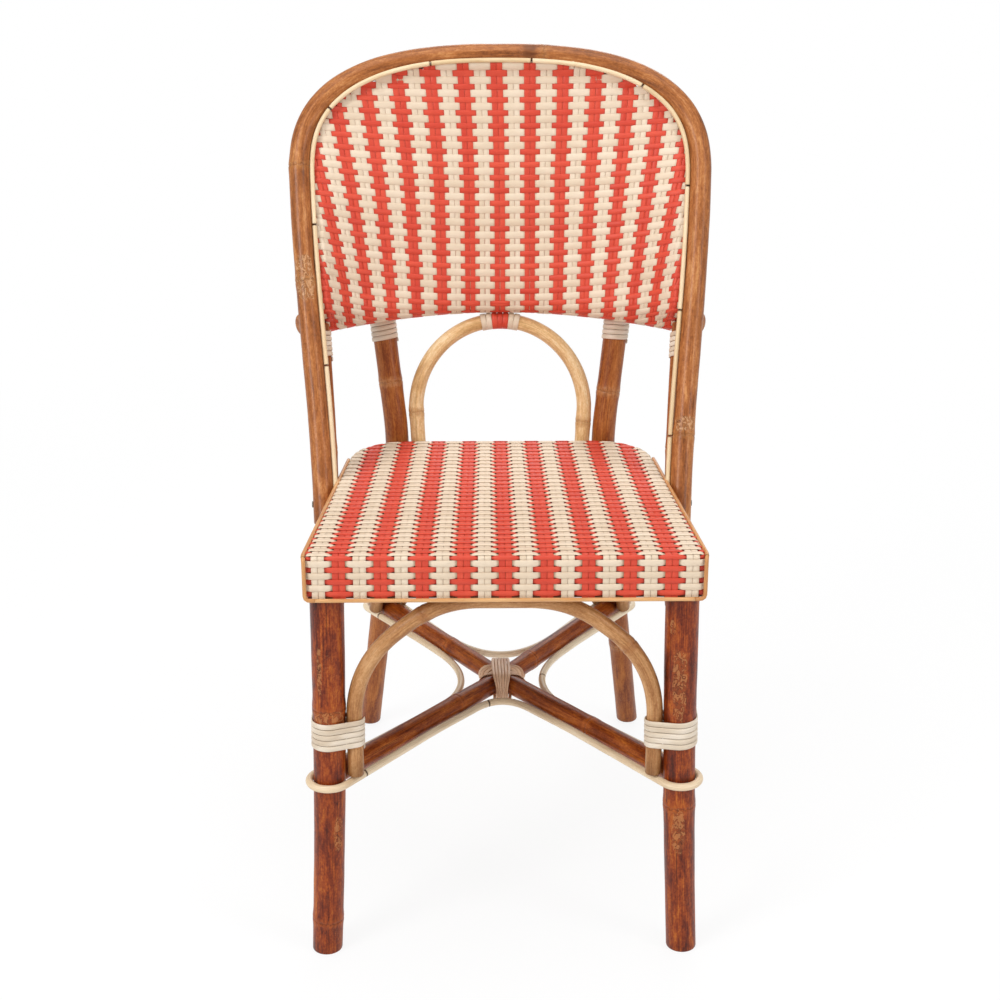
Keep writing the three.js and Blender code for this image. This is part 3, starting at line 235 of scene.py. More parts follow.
BACK_WEFT_PAIRS = 17
BACK_WARP_PAIRS = range(-16, 17)
BACK_WARP_PLACE = 0.18
BACK_WARP_SHARE = 0.36
BACK_WARP_GAP = 0.1
BACK_WARP_LIFT = 0.25
BACK_SHORTEST_RUN = 4
BACK_PAIR_LOW = 15.2
BACK_PAIR_GAIN = 3.5
BACK_PAIR_POWER = 1.2
BACK_MIDDLE_GAIN = 0.145
BACK_MIDDLE_SHARE = 0.6
BACK_MIDDLE_PAIRS = 6
BACK_DRIFT = 4.2
BACK_LIFT = 0.5
BACK_WEFT_WIDTH = {"cream": 7.0, "red": 5.25}
BACK_WEFT_PINCH = 0.1
BACK_SHORTEST_REACH = 20
BACK_TUCK = 30
GRID_REACH = 218
GRID_COLUMNS = 873
GRID_LOW = 560
GRID_HIGH = 880
GRID_STEP = 2
FOOT_REACH = 215
FOOT_COLUMNS = 87
FOOT_LOW = 580
FOOT_HIGH = 700
FLAT_THICKNESS = 1.0
WEFT_COLOURS = (("cream", -1), ("red", 1))
WARP_COLOURS = (("red", 1), ("cream", -1))

# Meshes of poles
POLE_SIDES = 32
POLE_STEP = 4
END_ROUNDING = 2
PATH_STEP = 1.5
BEND_SAMPLES = 25
THIN_SIDES = 16
THIN_STEP = 3
SHORTEST_RING_GAP = 0.15
NODE_RINGS = (-6, -3, -1.6, -0.8, 0, 0.8, 1.6, 3, 6)
NODE_REACH = 7
NODE_GROOVE = 0.45
NODE_GROOVE_REACH = 1.1
NO_NODE = 99.0
LEVEL_LENGTH = 30
JOINT_REACH = 1.4

# Shifts that give each piece or strand its own part of the textures
POLE_GRAIN_SHIFT = 371.0
WINDING_GRAIN_SHIFT = 97.0
STRAND_GRAIN_SHIFT = 53.0
STRAND_TONE_SHIFT = 0.618

# Stage, in metres and watts, and the camera, in millimetres, degrees and pixels
FLOOR_REACH = 40
FLOOR_GLOW = (0.86, 1.0)
FLOOR_GLOW_DISTANCES = (0.7, 2.2)
WORLD_STRENGTH = 0.5
LAMP_TARGET = (0, 0, 0.5)
LAMPS = {
    "key": ((-2.2, -2.2, 2.4), (1.2, 2.0), 60),
    "fill": ((2.4, -1.8, 1.8), (1.0, 2.2), 25),
    "top": ((0, -0.3, 3.0), (2.4, 2.4), 36),
    "back": ((0.4, 2.6, 1.9), (2.0, 1.4), 22),
}
CAMERA_PLACE = (-24.5, -1550, 1068)
CAMERA_PITCH = 19.77
CAMERA_HEADING = 0.72
CAMERA_FOCUS = 1725
IMAGE_SIZE = 1000
SENSOR_WIDTH = 36


def colour(code):
    """A colour written as in a picture, as the shader's linear values."""
    values = [int(code[i:i + 2], 16) / 255 for i in (1, 3, 5)]
    linear = [v / 12.92 if v <= 0.04045 else ((v + 0.055) / 1.055) ** 2.4 for v in values]
    return (*linear, 1)


# Materials
class Nodes:
    """A node tree that is built up one node after another."""

    def __init__(self, owner):
        owner.use_nodes = True
        self.tree = owner.node_tree
        self.tree.nodes.clear()

    def add(self, kind, inputs, result=0, **settings):
        node = self.tree.nodes.new(kind)
        for key, value in settings.items():
            setattr(node, key, value)
        for key, value in inputs.items():
            self.put(node.inputs[key], value)
        return node.outputs[result]

    def put(self, socket, value):
        if isinstance(value, bpy.types.NodeSocket):
            self.tree.links.new(value, socket)
        else:
            socket.default_value = value

    def sums(self, operation, first, second):
        return self.add("ShaderNodeMath", {0: first, 1: second}, operation=operation)

    def seen(self, *rays):
        """1 for rays of the named kinds, and 0 for all others."""
        total = 0.0
        for ray in rays:
            total = self.sums("MAXIMUM", total, self.add("ShaderNodeLightPath", {}, ray))
        return total

    def end(self, kind, surface):
        output = self.tree.nodes.new(kind)
        self.tree.links.new(surface, output.inputs["Surface"])


class Shader(Nodes):
    """A material of one surface, with textures that run along the grain of its piece."""

    def __init__(self, name):
        self.material = bpy.data.materials.new(name)
        super().__init__(self.material)
        self.surface = self.tree.nodes.new("ShaderNodeBsdfPrincipled")
        self.end("ShaderNodeOutputMaterial", self.surface.outputs["BSDF"])

    def attribute(self, name, result="Fac"):
        return self.add("ShaderNodeAttribute", {}, result, attribute_name=name)

    def stretched(self, vector, across, along):
        factors = (across, across, along)
        return self.add("ShaderNodeVectorMath", {0: vector, 1: factors}, operation="MULTIPLY")

    def noise(self, vector, detail=2.0, distortion=0.0):
        inputs = {"Vector": vector, "Scale": 1.0, "Detail": detail, "Distortion": distortion}
        return self.add("ShaderNodeTexNoise", inputs)

    def size(self, value):
        return self.sums("ABSOLUTE", value, 0.0)

    def weigh(self, *parts):
        """A sum of values, each with its weight."""
        total = None
        for value, weight in parts:
            part = self.sums("MULTIPLY", value, weight)
            total = part if total is None else self.sums("ADD", total, part)
        return total

    def spread(self, value, low, high, new_low=0.0, new_high=1.0):
        inputs = {"Value": value, "From Min": low, "From Max": high, "To Min": new_low, "To Max": new_high}
        return self.add("ShaderNodeMapRange", inputs, interpolation_type="SMOOTHSTEP")

    def ramp(self, value, stops):
        node = self.tree.nodes.new("ShaderNodeValToRGB")
        self.tree.links.new(value, node.inputs[0])
        elements = node.color_ramp.elements
        while len(elements) < len(stops):
            elements.new(0.5)
        for element, (place, code) in zip(elements, stops):
            element.position = place
            element.color = colour(code)
        return node.outputs[0]

    def mix(self, share, base, code):
        """A colour with a share of another one, written as a code."""
        inputs = {0: share, 6: base, 7: colour(code)}
        return self.add("ShaderNodeMix", inputs, 2, data_type="RGBA", blend_type="MIX")

    def bump(self, height, distance, strength):
        inputs = {"Height": height, "Distance": distance * MM, "Strength": strength}
        return self.add("ShaderNodeBump", inputs)

    def finish(self, base, roughness, normal, coat=0.0, coat_roughness=0.1, reflection=0.5):
        self.put(self.surface.inputs["Base Color"], base)
        self.put(self.surface.inputs["Roughness"], roughness)
        self.put(self.surface.inputs["Normal"], normal)
        self.surface.inputs["Specular IOR Level"].default_value = reflection
        self.surface.inputs["Coat Weight"].default_value = coat
        self.surface.inputs["Coat Roughness"].default_value = coat_roughness
        return self.material


def pole_wear(s, grain, scuffs):
    """Scratches and scars of a pole: how worn it is, where its scars lie and the rims of their marks."""
    nicks = s.spread(s.noise(s.stretched(grain, 0.5, 2.6), 3.0, 0.8), 0.58, 0.66)
    patches = s.spread(s.noise(s.stretched(grain, 0.035, 0.02), 3.0), 0.56, 0.66, 0.0, scuffs)
    rubbed = s.sums("MULTIPLY", nicks, patches)
    ragged = s.weigh((s.attribute("scar"), 1.0), (s.noise(s.stretched(grain, 0.2, 0.12), 4.0), 0.8))
    zone = s.spread(ragged, 0.95, 1.15)
    marks = s.noise(s.stretched(grain, 0.22, 0.17), 3.0, 1.4)
    torn = s.sums("MULTIPLY", zone, s.spread(marks, 0.5, 0.57, 0.1, 1.0))
    rim = s.spread(s.size(s.sums("SUBTRACT", marks, 0.49)), 0.0, 0.035, 0.75, 0.0)
    return s.sums("MAXIMUM", rubbed, torn), zone, s.sums("MULTIPLY", zone, rim)


def pole_material(name, tones, pale, dark, node, coat=0.15, band=0.7, ring=0.25, streaks=0.5, scuffs=0.5,
                  foot=0.15):
    """Lacquered rattan: fibres along the pole, blotches of stain, rings at its nodes, scratches, scars with
    dark rims, dark patches and darker ends."""
    s = Shader(name)
    grain = s.attribute("grain", "Vector")
    fibres = s.noise(s.stretched(grain, 1.3, 0.02), 5.0, 0.3)
    blotches = s.noise(s.stretched(grain, 0.075, 0.014), 4.0, 0.8)
    stain = s.noise(s.stretched(grain, 0.3, 0.09), 3.0, 0.5)
    mottle = s.noise(s.stretched(grain, 0.55, 0.35), 3.0, 0.4)
    specks = s.noise(s.stretched(grain, 1.1, 0.45), 2.0)
    tone = s.weigh((fibres, 0.22), (blotches, 0.4), (stain, 0.2), (mottle, 0.18))
    base = s.ramp(tone, list(zip((0.38, 0.46, 0.53, 0.62), tones)))
    base = s.mix(s.spread(s.noise(s.stretched(grain, 0.8, 0.008), 3.0), 0.57, 0.7, 0.0, streaks), base, dark)
    base = s.mix(s.spread(specks, 0.66, 0.74, 0.0, 0.65), base, dark)
    wave = s.spread(s.noise(s.stretched(grain, 0.3, 0.3)), 0.3, 0.7, -1.6, 1.6)
    reach = s.size(s.sums("ADD", s.attribute("knot"), wave))
    collar = s.sums("MULTIPLY", s.spread(reach, 2.0, 8.0, 1.0, 0.0), s.spread(stain, 0.3, 0.6, 0.3, 0.9))
    base = s.mix(s.sums("MULTIPLY", collar, band), base, node)
    groove = s.spread(reach, 0.3, 1.3, 1.0, 0.0)
    base = s.mix(s.sums("MULTIPLY", groove, ring), base, dark)
    worn, zone, rim = pole_wear(s, grain, scuffs)
    base = s.mix(s.sums("MULTIPLY", zone, 0.3), base, node)
    base = s.mix(s.sums("MULTIPLY", worn, 0.42), base, pale)
    base = s.mix(rim, base, dark)
    burn = s.weigh((s.attribute("burn"), 1.0), (mottle, 0.5))
    base = s.mix(s.spread(burn, 0.9, 1.4, 0.0, 0.6), base, dark)
    base = s.mix(s.spread(s.attribute("edge"), 0.0, 26.0, foot, 0.0), base, dark)
    roughness = s.sums("ADD", s.spread(blotches, 0.3, 0.7, 0.34, 0.52), s.sums("MULTIPLY", worn, 0.25))
    height = s.weigh((fibres, 0.5), (groove, -0.6), (worn, -0.4), (mottle, 0.3))
    return s.finish(base, roughness, s.bump(height, 0.5, 0.6), coat, 0.2, 0.2)


def cane_material(name, tones, dark, coat, lines=0.35):
    """Peeled cane: fine pale fibres, a few dark specks, a soft sheen, and dark ends, partly their cut faces
    and partly painted shade of the gaps between canes.
    """
    s = Shader(name)
    grain = s.attribute("grain", "Vector")
    fibres = s.noise(s.stretched(grain, 2.4, 0.03), 4.0, 0.2)
    blotches = s.noise(s.stretched(grain, 0.16, 0.03), 3.0, 0.4)
    tone = s.weigh((fibres, 0.4), (blotches, 0.4), (s.attribute("strand"), 0.2))
    base = s.ramp(tone, list(zip((0.36, 0.5, 0.64), tones)))
    streak = s.spread(s.noise(s.stretched(grain, 1.6, 0.008), 3.0), 0.56, 0.7, 0.0, lines)
    base = s.mix(streak, base, dark)
    specks = s.spread(s.noise(s.stretched(grain, 1.4, 0.7), 2.0), 0.68, 0.76, 0.0, 0.6)
    base = s.mix(specks, base, dark)
    # Dark cut ends at the joints, which also paint in the shade of the narrow gaps between canes.
    base = s.mix(s.spread(s.attribute("joint"), 0.35, 0.9, 0.0, 0.9), base, "#4A2C14")
    roughness = s.spread(blotches, 0.3, 0.7, 0.36, 0.52)
    return s.finish(base, roughness, s.bump(fibres, 0.25, 0.5), coat, 0.25)


def plastic_material(name, bright, plain, dip_shade_and_dirt):
    """Flat woven strand: fine drawn lines along it, each strand a little different, and darker where it dips,
    painted shade with a little dirt there.
    """
    s = Shader(name)
    grain = s.attribute("grain", "Vector")
    lines = s.noise(s.stretched(grain, 1.8, 0.02), 3.0)
    mottle = s.noise(s.stretched(grain, 0.12, 0.06), 3.0)
    tone = s.weigh((mottle, 0.5), (s.attribute("strand"), 0.3), (lines, 0.2))
    base = s.ramp(tone, [(0.3, plain), (0.66, bright)])
    # Painted shade, with a little dirt, darkens a strand where it dips under others.
    base = s.mix(s.spread(s.attribute("lift"), -0.9, 0.25, 0.6, 0.0), base, dip_shade_and_dirt)
    roughness = s.spread(mottle, 0.3, 0.7, 0.42, 0.58)
    return s.finish(base, roughness, s.bump(lines, 0.12, 0.4), 0.0, 0.3, 0.35)


def wood_material(name):
    """Plain frame wood with a soft grain."""
    s = Shader(name)
    place = s.add("ShaderNodeTexCoord", {}, "Object")
    fine = s.noise(s.stretched(place, 260.0, 260.0), 4.0)
    grain = s.noise(s.stretched(place, 18.0, 120.0), 5.0, 1.5)
    tone = s.weigh((grain, 0.7), (fine, 0.3))
    base = s.ramp(tone, [(0.3, "#9C7A50"), (0.5, "#C2A075"), (0.7, "#D6B88E")])
    return s.finish(base, s.spread(grain, 0.3, 0.7, 0.55, 0.75), s.bump(grain, 0.5, 0.4))


def steel_material(name):
    """Nail and screw steel, dull, with a little rust."""
    s = Shader(name)
    place = s.add("ShaderNodeTexCoord", {}, "Object")
    mottle = s.noise(s.stretched(place, 900.0, 900.0), 4.0)
    base = s.ramp(mottle, [(0.35, "#3B332C"), (0.5, "#6C6660"), (0.7, "#8E8A84")])
    s.surface.inputs["Metallic"].default_value = 1.0
    return s.finish(base, s.spread(mottle, 0.3, 0.7, 0.35, 0.6), s.bump(mottle, 0.1, 0.4))


def shade_sheet_material(name):
    """A dark sheet whose colour is painted shade, standing for the shadowed inner side of the weave."""
    s = Shader(name)
    grain = s.attribute("grain", "Vector")
    threads = s.noise(s.stretched(grain, 0.5, 0.5), 4.0)
    base = s.ramp(threads, [(0.35, "#4E2A1C"), (0.65, "#7A4A34")])
    return s.finish(base, s.spread(threads, 0.3, 0.7, 0.7, 0.9), s.bump(threads, 0.4, 0.5), 0.0, 0.3, 0.2)


MATERIALS = {
    "leg": pole_material(
        "leg_rattan", ("#421506", "#6C260B", "#933F13", "#BA6622"), "#C48C58", "#260C04", "#A24F1C",
        ring=0.4, streaks=0.6, scuffs=0.6),
    "rear": pole_material(
        "rear_rattan", ("#6E3314", "#8A481E", "#A05C28", "#B87238"), "#CB9866", "#46200E", "#BC8656"),
    "brace": pole_material(
        "brace_rattan", ("#5C2309", "#833A10", "#A05018", "#BE6C26"), "#CA9058", "#331406", "#BA6426",
        streaks=0.6),
    "hoop": pole_material(
        "hoop_rattan", ("#6E3C1C", "#915428", "#AA6835", "#C68A54"), "#DAB088", "#4A240E", "#AC7842",
        coat=0.2, band=0.4, streaks=0.35, scuffs=0.4),
    "arch": pole_material(
        "arch_rattan", ("#8C5A32", "#A67244", "#BA8756", "#CE9F70"), "#DEBC8E", "#64401E", "#985C30",
        ring=0.2, scuffs=0.3, streaks=0.35, foot=0.5),
    "back_arch": pole_material(
        "back_arch_rattan", ("#B88C58", "#D0A670", "#E2BC88", "#F0D5AA"), "#F0DCB4", "#80582C", "#B07C46",
        ring=0.2, scuffs=0.3, streaks=0.3),
    "bead": cane_material("bead_cane", ("#D0B284", "#DEC49A", "#E8D2AE"), "#A67E4A", 0.2, 0.25),
    "rod": cane_material("rod_cane", ("#D0B28C", "#E0C8A6", "#ECDABC"), "#94704A", 0.15),
    "piping": cane_material("piping_cane", ("#B2723A", "#C88C50", "#DAA870"), "#8A5424", 0.2),
    "binding": cane_material("binding_cane", ("#CCB8A0", "#D8C8B2", "#E2D4C2"), "#A88C68", 0.15, 0.25),
    "strand": cane_material("strand_cane", ("#CDA27F", "#DEB796", "#EBC9A9"), "#8E6848", 0.1),
    # The third colour of each weave is the painted shade and dirt in its dips.
    "cream": plastic_material("cream_weave", "#E1CFB8", "#D6C1A7", "#A08460"),
    "red": plastic_material("red_weave", "#D64E37", "#C73E2B", "#8E2416"),
    # painted shade: the dark sheet under the seat's weave
    "shade_sheet": shade_sheet_material("weave_shade_sheet"),
    "wood": wood_material("frame_wood"),
    "steel": steel_material("screw_steel"),
}


# Meshes
def make_piece(name, vertices, faces, material, stands_for, vectors, numbers=None):
    """A mesh piece of the chair, from points in millimetres."""
    mesh = bpy.data.meshes.new(name)
    places = np.asarray(vertices, float) * MM
    places[:, 1] += FRONT_FACE
    mesh.from_pydata(places.tolist(), [], [list(face) for face in faces])
    mesh.polygons.foreach_set("use_smooth", [True] * len(mesh.polygons))
    for key, values in vectors.items():
        layer = mesh.attributes.new(key, "FLOAT_VECTOR", "POINT")
        layer.data.foreach_set("vector", np.asarray(values, np.float32).ravel())
    for key, values in (numbers or {}).items():
        layer = mesh.attributes.new(key, "FLOAT", "POINT")
        layer.data.foreach_set("value", np.asarray(values, np.float32).ravel())
    mesh.materials.append(MATERIALS[material])
    mesh.validate()
    piece = bpy.data.objects.new(name, mesh)
    bpy.context.scene.collection.objects.link(piece)
    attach(piece, "root")
    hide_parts(*stands_for)
    return piece


def unit(vectors):
    vectors = np.asarray(vectors, float)
    return vectors / np.maximum(np.linalg.norm(vectors, axis=-1, keepdims=True), 1e-12)


def lengths_along(points):
    return np.concatenate([[0], np.cumsum(np.linalg.norm(np.diff(points, axis=0), axis=1))])


def values_at(places, lengths, rows):
    """Rows of values along a line, at distances from its start."""
    return np.stack([np.interp(places, lengths, column) for column in rows.T], axis=-1)


def points_at(points, places):
    return values_at(places, lengths_along(points), points)


def evenly(points, step):
    points = np.asarray(points, float)
    whole = lengths_along(points)[-1]
    return points_at(points, np.linspace(0, whole, max(int(round(whole / step)), 2) + 1))


def bend(before, corner, after):
    """A curve between two points that leaves and meets them on lines through a corner."""
    t = np.linspace(0, 1, BEND_SAMPLES)[:, None]
    return (1 - t) ** 2 * before + 2 * t * (1 - t) * corner + t * t * after


def rounded_path(corners, cuts):
    """A straight-run path whose corners are rounded off, as in the part's source."""
    corners = np.array(corners, float)
    parts = [corners[:1]]
    for i, cut in enumerate(cuts, start=1):
        before = corners[i] + unit(corners[i - 1] - corners[i]) * cut
        after = corners[i] + unit(corners[i + 1] - corners[i]) * cut
        parts.append(bend(before, corners[i], after))
    return np.concatenate([*parts, corners[-1:]])


def wander(along, seed, size=1.0, longest=160.0):
    """A smooth random change along a pole."""
    random = np.random.default_rng(seed)
    total = np.zeros_like(along, dtype=float)
    for wave in range(1, 6):
        phase = random.uniform(0, WHOLE_TURN)
        total += np.sin(WHOLE_TURN * along * wave / longest + phase) / wave
    return total * size / 2


def ring_faces(rings, sides):
    """Quads between neighbouring rings of points."""
    here = np.arange(rings - 1)[:, None] * sides
    there = here + sides
    k = np.arange(sides)[None, :]
    right = (k + 1) % sides
    return np.stack([here + k, here + right, there + right, there + k], axis=-1).reshape(-1, 4)


def line_frames(path):
    """Two directions across a line at each of its points, turning as little as they can."""
    tangents = unit(np.gradient(path, axis=0))
    seed = np.array([0.0, 0.0, 1.0]) if abs(tangents[0][2]) < 0.9 else np.array([0.0, -1.0, 0.0])
    sides = np.zeros_like(path)
    for i, tangent in enumerate(tangents):
        seed = seed - np.dot(seed, tangent) * tangent
        seed /= np.linalg.norm(seed)
        sides[i] = seed
    return tangents, sides, np.cross(tangents, sides)


def ring_places(whole, step, rounding, knots):
    """Distances along a pole at which it has a ring: closer at its ends and at its nodes."""
    turns = np.linspace(0, math.pi / 2, 5)
    edge = rounding * (1 - np.cos(turns))
    places = [edge, whole - edge, np.arange(rounding + step, whole - rounding - step / 2, step)]
    for knot in knots:
        places.append(knot + np.array(NODE_RINGS))
    joined = np.unique(np.round(np.concatenate(places), 3))
    joined = joined[(joined >= 0) & (joined <= whole)]
    return joined[np.concatenate([[True], np.diff(joined) > SHORTEST_RING_GAP])]


def marked(places, angles, patches):
    """How strongly each point of a pole lies in a patch, given as its start, length, facing and spread."""
    total = np.zeros((len(places), len(angles)))
    for start, length, facing, spread in patches:
        turn = np.angle(np.exp(1j * (angles - math.radians(facing))))
        along = (places - start - length / 2) / (length / 2)
        total = np.maximum(total, np.outer(np.exp(-(along ** 4)), np.exp(-((turn / spread) ** 4))))
    return total


def node_gaps(places, knots):
    """How far each ring of a pole lies from the nearest node."""
    away = np.full(len(places), NO_NODE)
    for knot in knots:
        gap = places - knot
        away = np.where(np.abs(gap) < np.abs(away), gap, away)
    return away


def bell(away, reach):
    return np.exp(-((away / reach) ** 2))


def end_loss(away, rounding):
    """What a pole's radius loses near an end, whose edge is rounded."""
    short = np.clip(1 - away / rounding, 0, 1)
    return rounding * (1 - np.sqrt(1 - short ** 2))


def levelled(rings, centres, tangents, places):
    """Rings of a pole that are slid along it, so that its lower end stands level on the floor."""
    drop = rings[:, :, 2] - centres[:, None, 2]
    share = np.clip(1 - places / LEVEL_LENGTH, 0, 1)[:, None]
    slide = drop * share / tangents[:, None, 2]
    return rings - slide[:, :, None] * tangents[:, None, :]


def pole_faces(count, sides):
    """Quads between a pole's rings, and triangles from its end rings to the middles of its ends."""
    faces = ring_faces(count, sides).tolist()
    middle, last = count * sides, (count - 1) * sides
    for k in range(sides):
        after = (k + 1) % sides
        faces.append([middle, after, k])
        faces.append([middle + 1, last + k, last + after])
    return faces


def pole(name, path, radius, material, slot, stands_for, seed, sides=POLE_SIDES, step=POLE_STEP,
         rounding=END_ROUNDING, knots=(), scars=(), burns=(), swell=0.7, waver=0.012, level=False, joint=1):
    """A round pole along a line. Its radius may change along it, it swells at its nodes, its ends are
    rounded, and it may stand level on the floor."""
    path = evenly(path, PATH_STEP)
    whole = lengths_along(path)[-1]
    places = ring_places(whole, step, rounding, knots)
    centres = points_at(path, places)
    tangents, first, second = line_frames(centres)
    away = node_gaps(places, knots)
    radii = np.interp(places, [0, whole], np.broadcast_to(radius, 2)) * (1 + wander(places, seed, waver))
    radii += swell * bell(away, NODE_REACH) - NODE_GROOVE * bell(away, NODE_GROOVE_REACH)
    radii -= end_loss(places, rounding) + end_loss(whole - places, rounding)
    angles = np.arange(sides) / sides * WHOLE_TURN
    flat = radii[:, None] * np.cos(angles), radii[:, None] * np.sin(angles)
    rings = centres[:, None, :] + flat[0][..., None] * first[:, None, :]
    rings = rings + flat[1][..., None] * second[:, None, :]
    if level:
        rings = levelled(rings, centres, tangents, places)
    vertices = np.concatenate([rings.reshape(-1, 3), centres[:1], centres[-1:]])
    grain = np.stack(np.broadcast_arrays(*flat, places[:, None]), axis=-1) + seed * POLE_GRAIN_SHIFT
    ends = np.stack([grain[0].mean(axis=0), grain[-1].mean(axis=0)])
    edge = np.append(np.repeat(np.minimum(places, whole - places), sides), [0, 0])
    numbers = {
        "knot": np.append(np.repeat(away, sides), away[[0, -1]]),
        "scar": np.append(marked(places, angles, scars), [0, 0]),
        "burn": np.append(marked(places, angles, burns), [0, 0]),
        "edge": edge,
        "joint": np.clip(1 - edge / JOINT_REACH, 0, 1) * joint,
        "strand": np.full(len(vertices), np.random.default_rng(seed).uniform()),
    }
    return make_piece(name, vertices, pole_faces(len(places), sides), material, stands_for,
                      {"grain": np.concatenate([grain.reshape(-1, 3), ends])}, numbers)


def thin_pole(*args, **shape):
    return pole(*args, sides=THIN_SIDES, step=THIN_STEP, **shape)


# Lines of the chair
def half_width(depth):
    return np.interp(depth, [0, SEAT_DEPTH], [SEAT_FRONT_HALF, SEAT_REAR_HALF])


HOOP_FOOT_X = float(half_width(HOOP_FOOT_DEPTH)) + HOOP_STANDOFF + HOOP_RADIUS
HOOP_WIDEST_X = HOOP_FOOT_X + HOOP_SPREAD
FRAME_REACH = HOOP_RADIUS + FRAME_RADIUS + 2 * CLEARANCE
FRAME_SETBACK = math.sqrt(FRAME_REACH ** 2 - FRAME_INSET ** 2)


def plane_point(across, height, behind=0.0):
    """A point of the hoop's leaning plane, or behind it."""
    across, height, behind = np.broadcast_arrays(across, height, behind)
    depth = HOOP_FOOT_DEPTH + (height - HOOP_FOOT_HEIGHT) * math.tan(HOOP_LEAN)
    return np.stack([
        across, depth + behind * math.cos(HOOP_LEAN), height - behind * math.sin(HOOP_LEAN)], axis=-1)


def hoop_side(height, foot, widest):
    share = (height - HOOP_FOOT_HEIGHT) / (HOOP_WIDEST - HOOP_FOOT_HEIGHT)
    ease = (share + (1 - np.cos(math.pi * share)) / 2) / 2
    return foot + (widest - foot) * ease


def hoop_half(inset, height):
    """Half width of the hoop's line drawn in by an inset."""
    height = np.asarray(height, float)
    widest = HOOP_WIDEST_X - inset
    up = np.clip((height - HOOP_WIDEST) / (HOOP_CROWN - HOOP_WIDEST - inset), 0, 1)
    crown = widest * (1 - up ** HOOP_CROWN_POWER) ** (1 / HOOP_CROWN_POWER)
    return np.where(height <= HOOP_WIDEST, hoop_side(height, HOOP_FOOT_X - inset, widest), crown)


def hoop_line(inset, foot_height):
    """The hoop's line drawn in by an inset, from the right foot over the crown, as across and height."""
    widest = HOOP_WIDEST_X - inset
    heights = np.linspace(foot_height, HOOP_WIDEST, 120, endpoint=False)
    leg = np.stack([hoop_side(heights, HOOP_FOOT_X - inset, widest), heights], axis=1)
    angles = np.linspace(0, math.pi / 2, 160)
    crown = HOOP_CROWN - HOOP_WIDEST - inset
    power = 2 / HOOP_CROWN_POWER
    arc = np.stack([widest * np.cos(angles) ** power, HOOP_WIDEST + crown * np.sin(angles) ** power], axis=1)
    arc[-1, 0] = 0
    half = np.concatenate([leg, arc])
    other = half[-2::-1] * [-1, 1]
    return np.concatenate([half, other])


def hoop_path(inset, foot_height, behind):
    line = hoop_line(inset, foot_height)
    return plane_point(line[:, 0], line[:, 1], behind)


RAIL_END_DEPTH = float(plane_point(0, RAIL_HEIGHT - RAIL_DROP)[1]) + (
    HOOP_RADIUS + RAIL_RADIUS + CLEARANCE) / math.cos(HOOP_LEAN)


def rail_point(across):
    share = np.asarray(across, float) / RAIL_REACH
    depth = RAIL_DEPTH - (RAIL_DEPTH - RAIL_END_DEPTH) * share ** 2
    return np.stack([share * RAIL_REACH, depth, RAIL_HEIGHT - RAIL_DROP * share ** 2], axis=-1)


def front_leg(side, height):
    share = height / SEAT_BOTTOM
    straight = FRONT_LEG_FOOT_X + (FRONT_LEG_TOP_X - FRONT_LEG_FOOT_X) * share
    x = straight - FRONT_LEG_BOW * np.sin(math.pi * share)
    return np.array([side * x, FRONT_LEG_DEPTH, height])


def front_leg_radius(height):
    return FRONT_LEG_FOOT_RADIUS + (FRONT_LEG_TOP_RADIUS - FRONT_LEG_FOOT_RADIUS) * height / SEAT_BOTTOM


def rear_leg(side, height):
    share = height / REAR_LEG_BEND_HEIGHT
    x = REAR_LEG_FOOT_X + (REAR_LEG_BEND_X - REAR_LEG_FOOT_X) * share
    y = REAR_LEG_FOOT_DEPTH + (REAR_LEG_BEND_DEPTH - REAR_LEG_FOOT_DEPTH) * share
    return np.array([side * x, y, height])


REAR_TILT = (REAR_LEG_FOOT_DEPTH - REAR_LEG_BEND_DEPTH) / REAR_LEG_BEND_HEIGHT
REAR_STRETCH = math.hypot(REAR_TILT, 1)


def rear_leg_above(side, height):
    """A point of a rear leg above its bend, on the way to where it leans on the back of the lower rail."""
    slope = 2 * (RAIL_DEPTH - RAIL_END_DEPTH) * REAR_LEG_TOP_X / RAIL_REACH ** 2
    setback = (RAIL_RADIUS + 2 * CLEARANCE + REAR_LEG_RADIUS) * math.hypot(1, slope)
    rest = rail_point(side * REAR_LEG_TOP_X) + [0, setback, 0]
    knee = rear_leg(side, REAR_LEG_BEND_HEIGHT)
    return knee + (rest - knee) * (height - knee[2]) / (rest[2] - knee[2])


def limb_offset(leg_radius, angle):
    reach = leg_radius + ARCH_RADIUS + CLEARANCE
    return reach * math.cos(angle), reach * math.sin(angle)


def side_limb_front(side, height):
    x, y = limb_offset(front_leg_radius(height) + 0.8, math.pi / 2 - LIMB_TURN)
    return front_leg(side, height) + [side * x, y, 0]


def side_limb_rear(side, height):
    x, y = limb_offset(REAR_LEG_RADIUS, -math.pi / 2 + LIMB_TURN)
    return rear_leg(side, height) + [side * x, y * REAR_STRETCH, 0]


def rear_limb(side, height):
    x, _ = limb_offset(REAR_LEG_RADIUS + CLEARANCE, math.pi)
    return rear_leg(side, height) + [side * x, 0, 0]


# Poles
def make_front_legs():
    scars = {1: [(115, 62, 350, 0.5), (268, 92, 350, 0.55), (366, 18, 320, 0.3)],
             -1: [(264, 22, 0, 1.4), (119, 50, 40, 0.4), (300, 60, 330, 0.25)]}
    knots = {1: (172,), -1: (38, 284)}
    for word, side in SIDES:
        path = [front_leg(side, height) for height in np.linspace(0, SEAT_BOTTOM - CLEARANCE, 40)]
        radii = (FRONT_LEG_FOOT_RADIUS, FRONT_LEG_TOP_RADIUS)
        pole("leg_pole_front_" + word, path, radii, "leg", "dark_pole", ("front_leg_" + word,),
             level=True, rounding=1.6, seed=11 + side, swell=0.8, knots=knots[side], scars=scars[side])


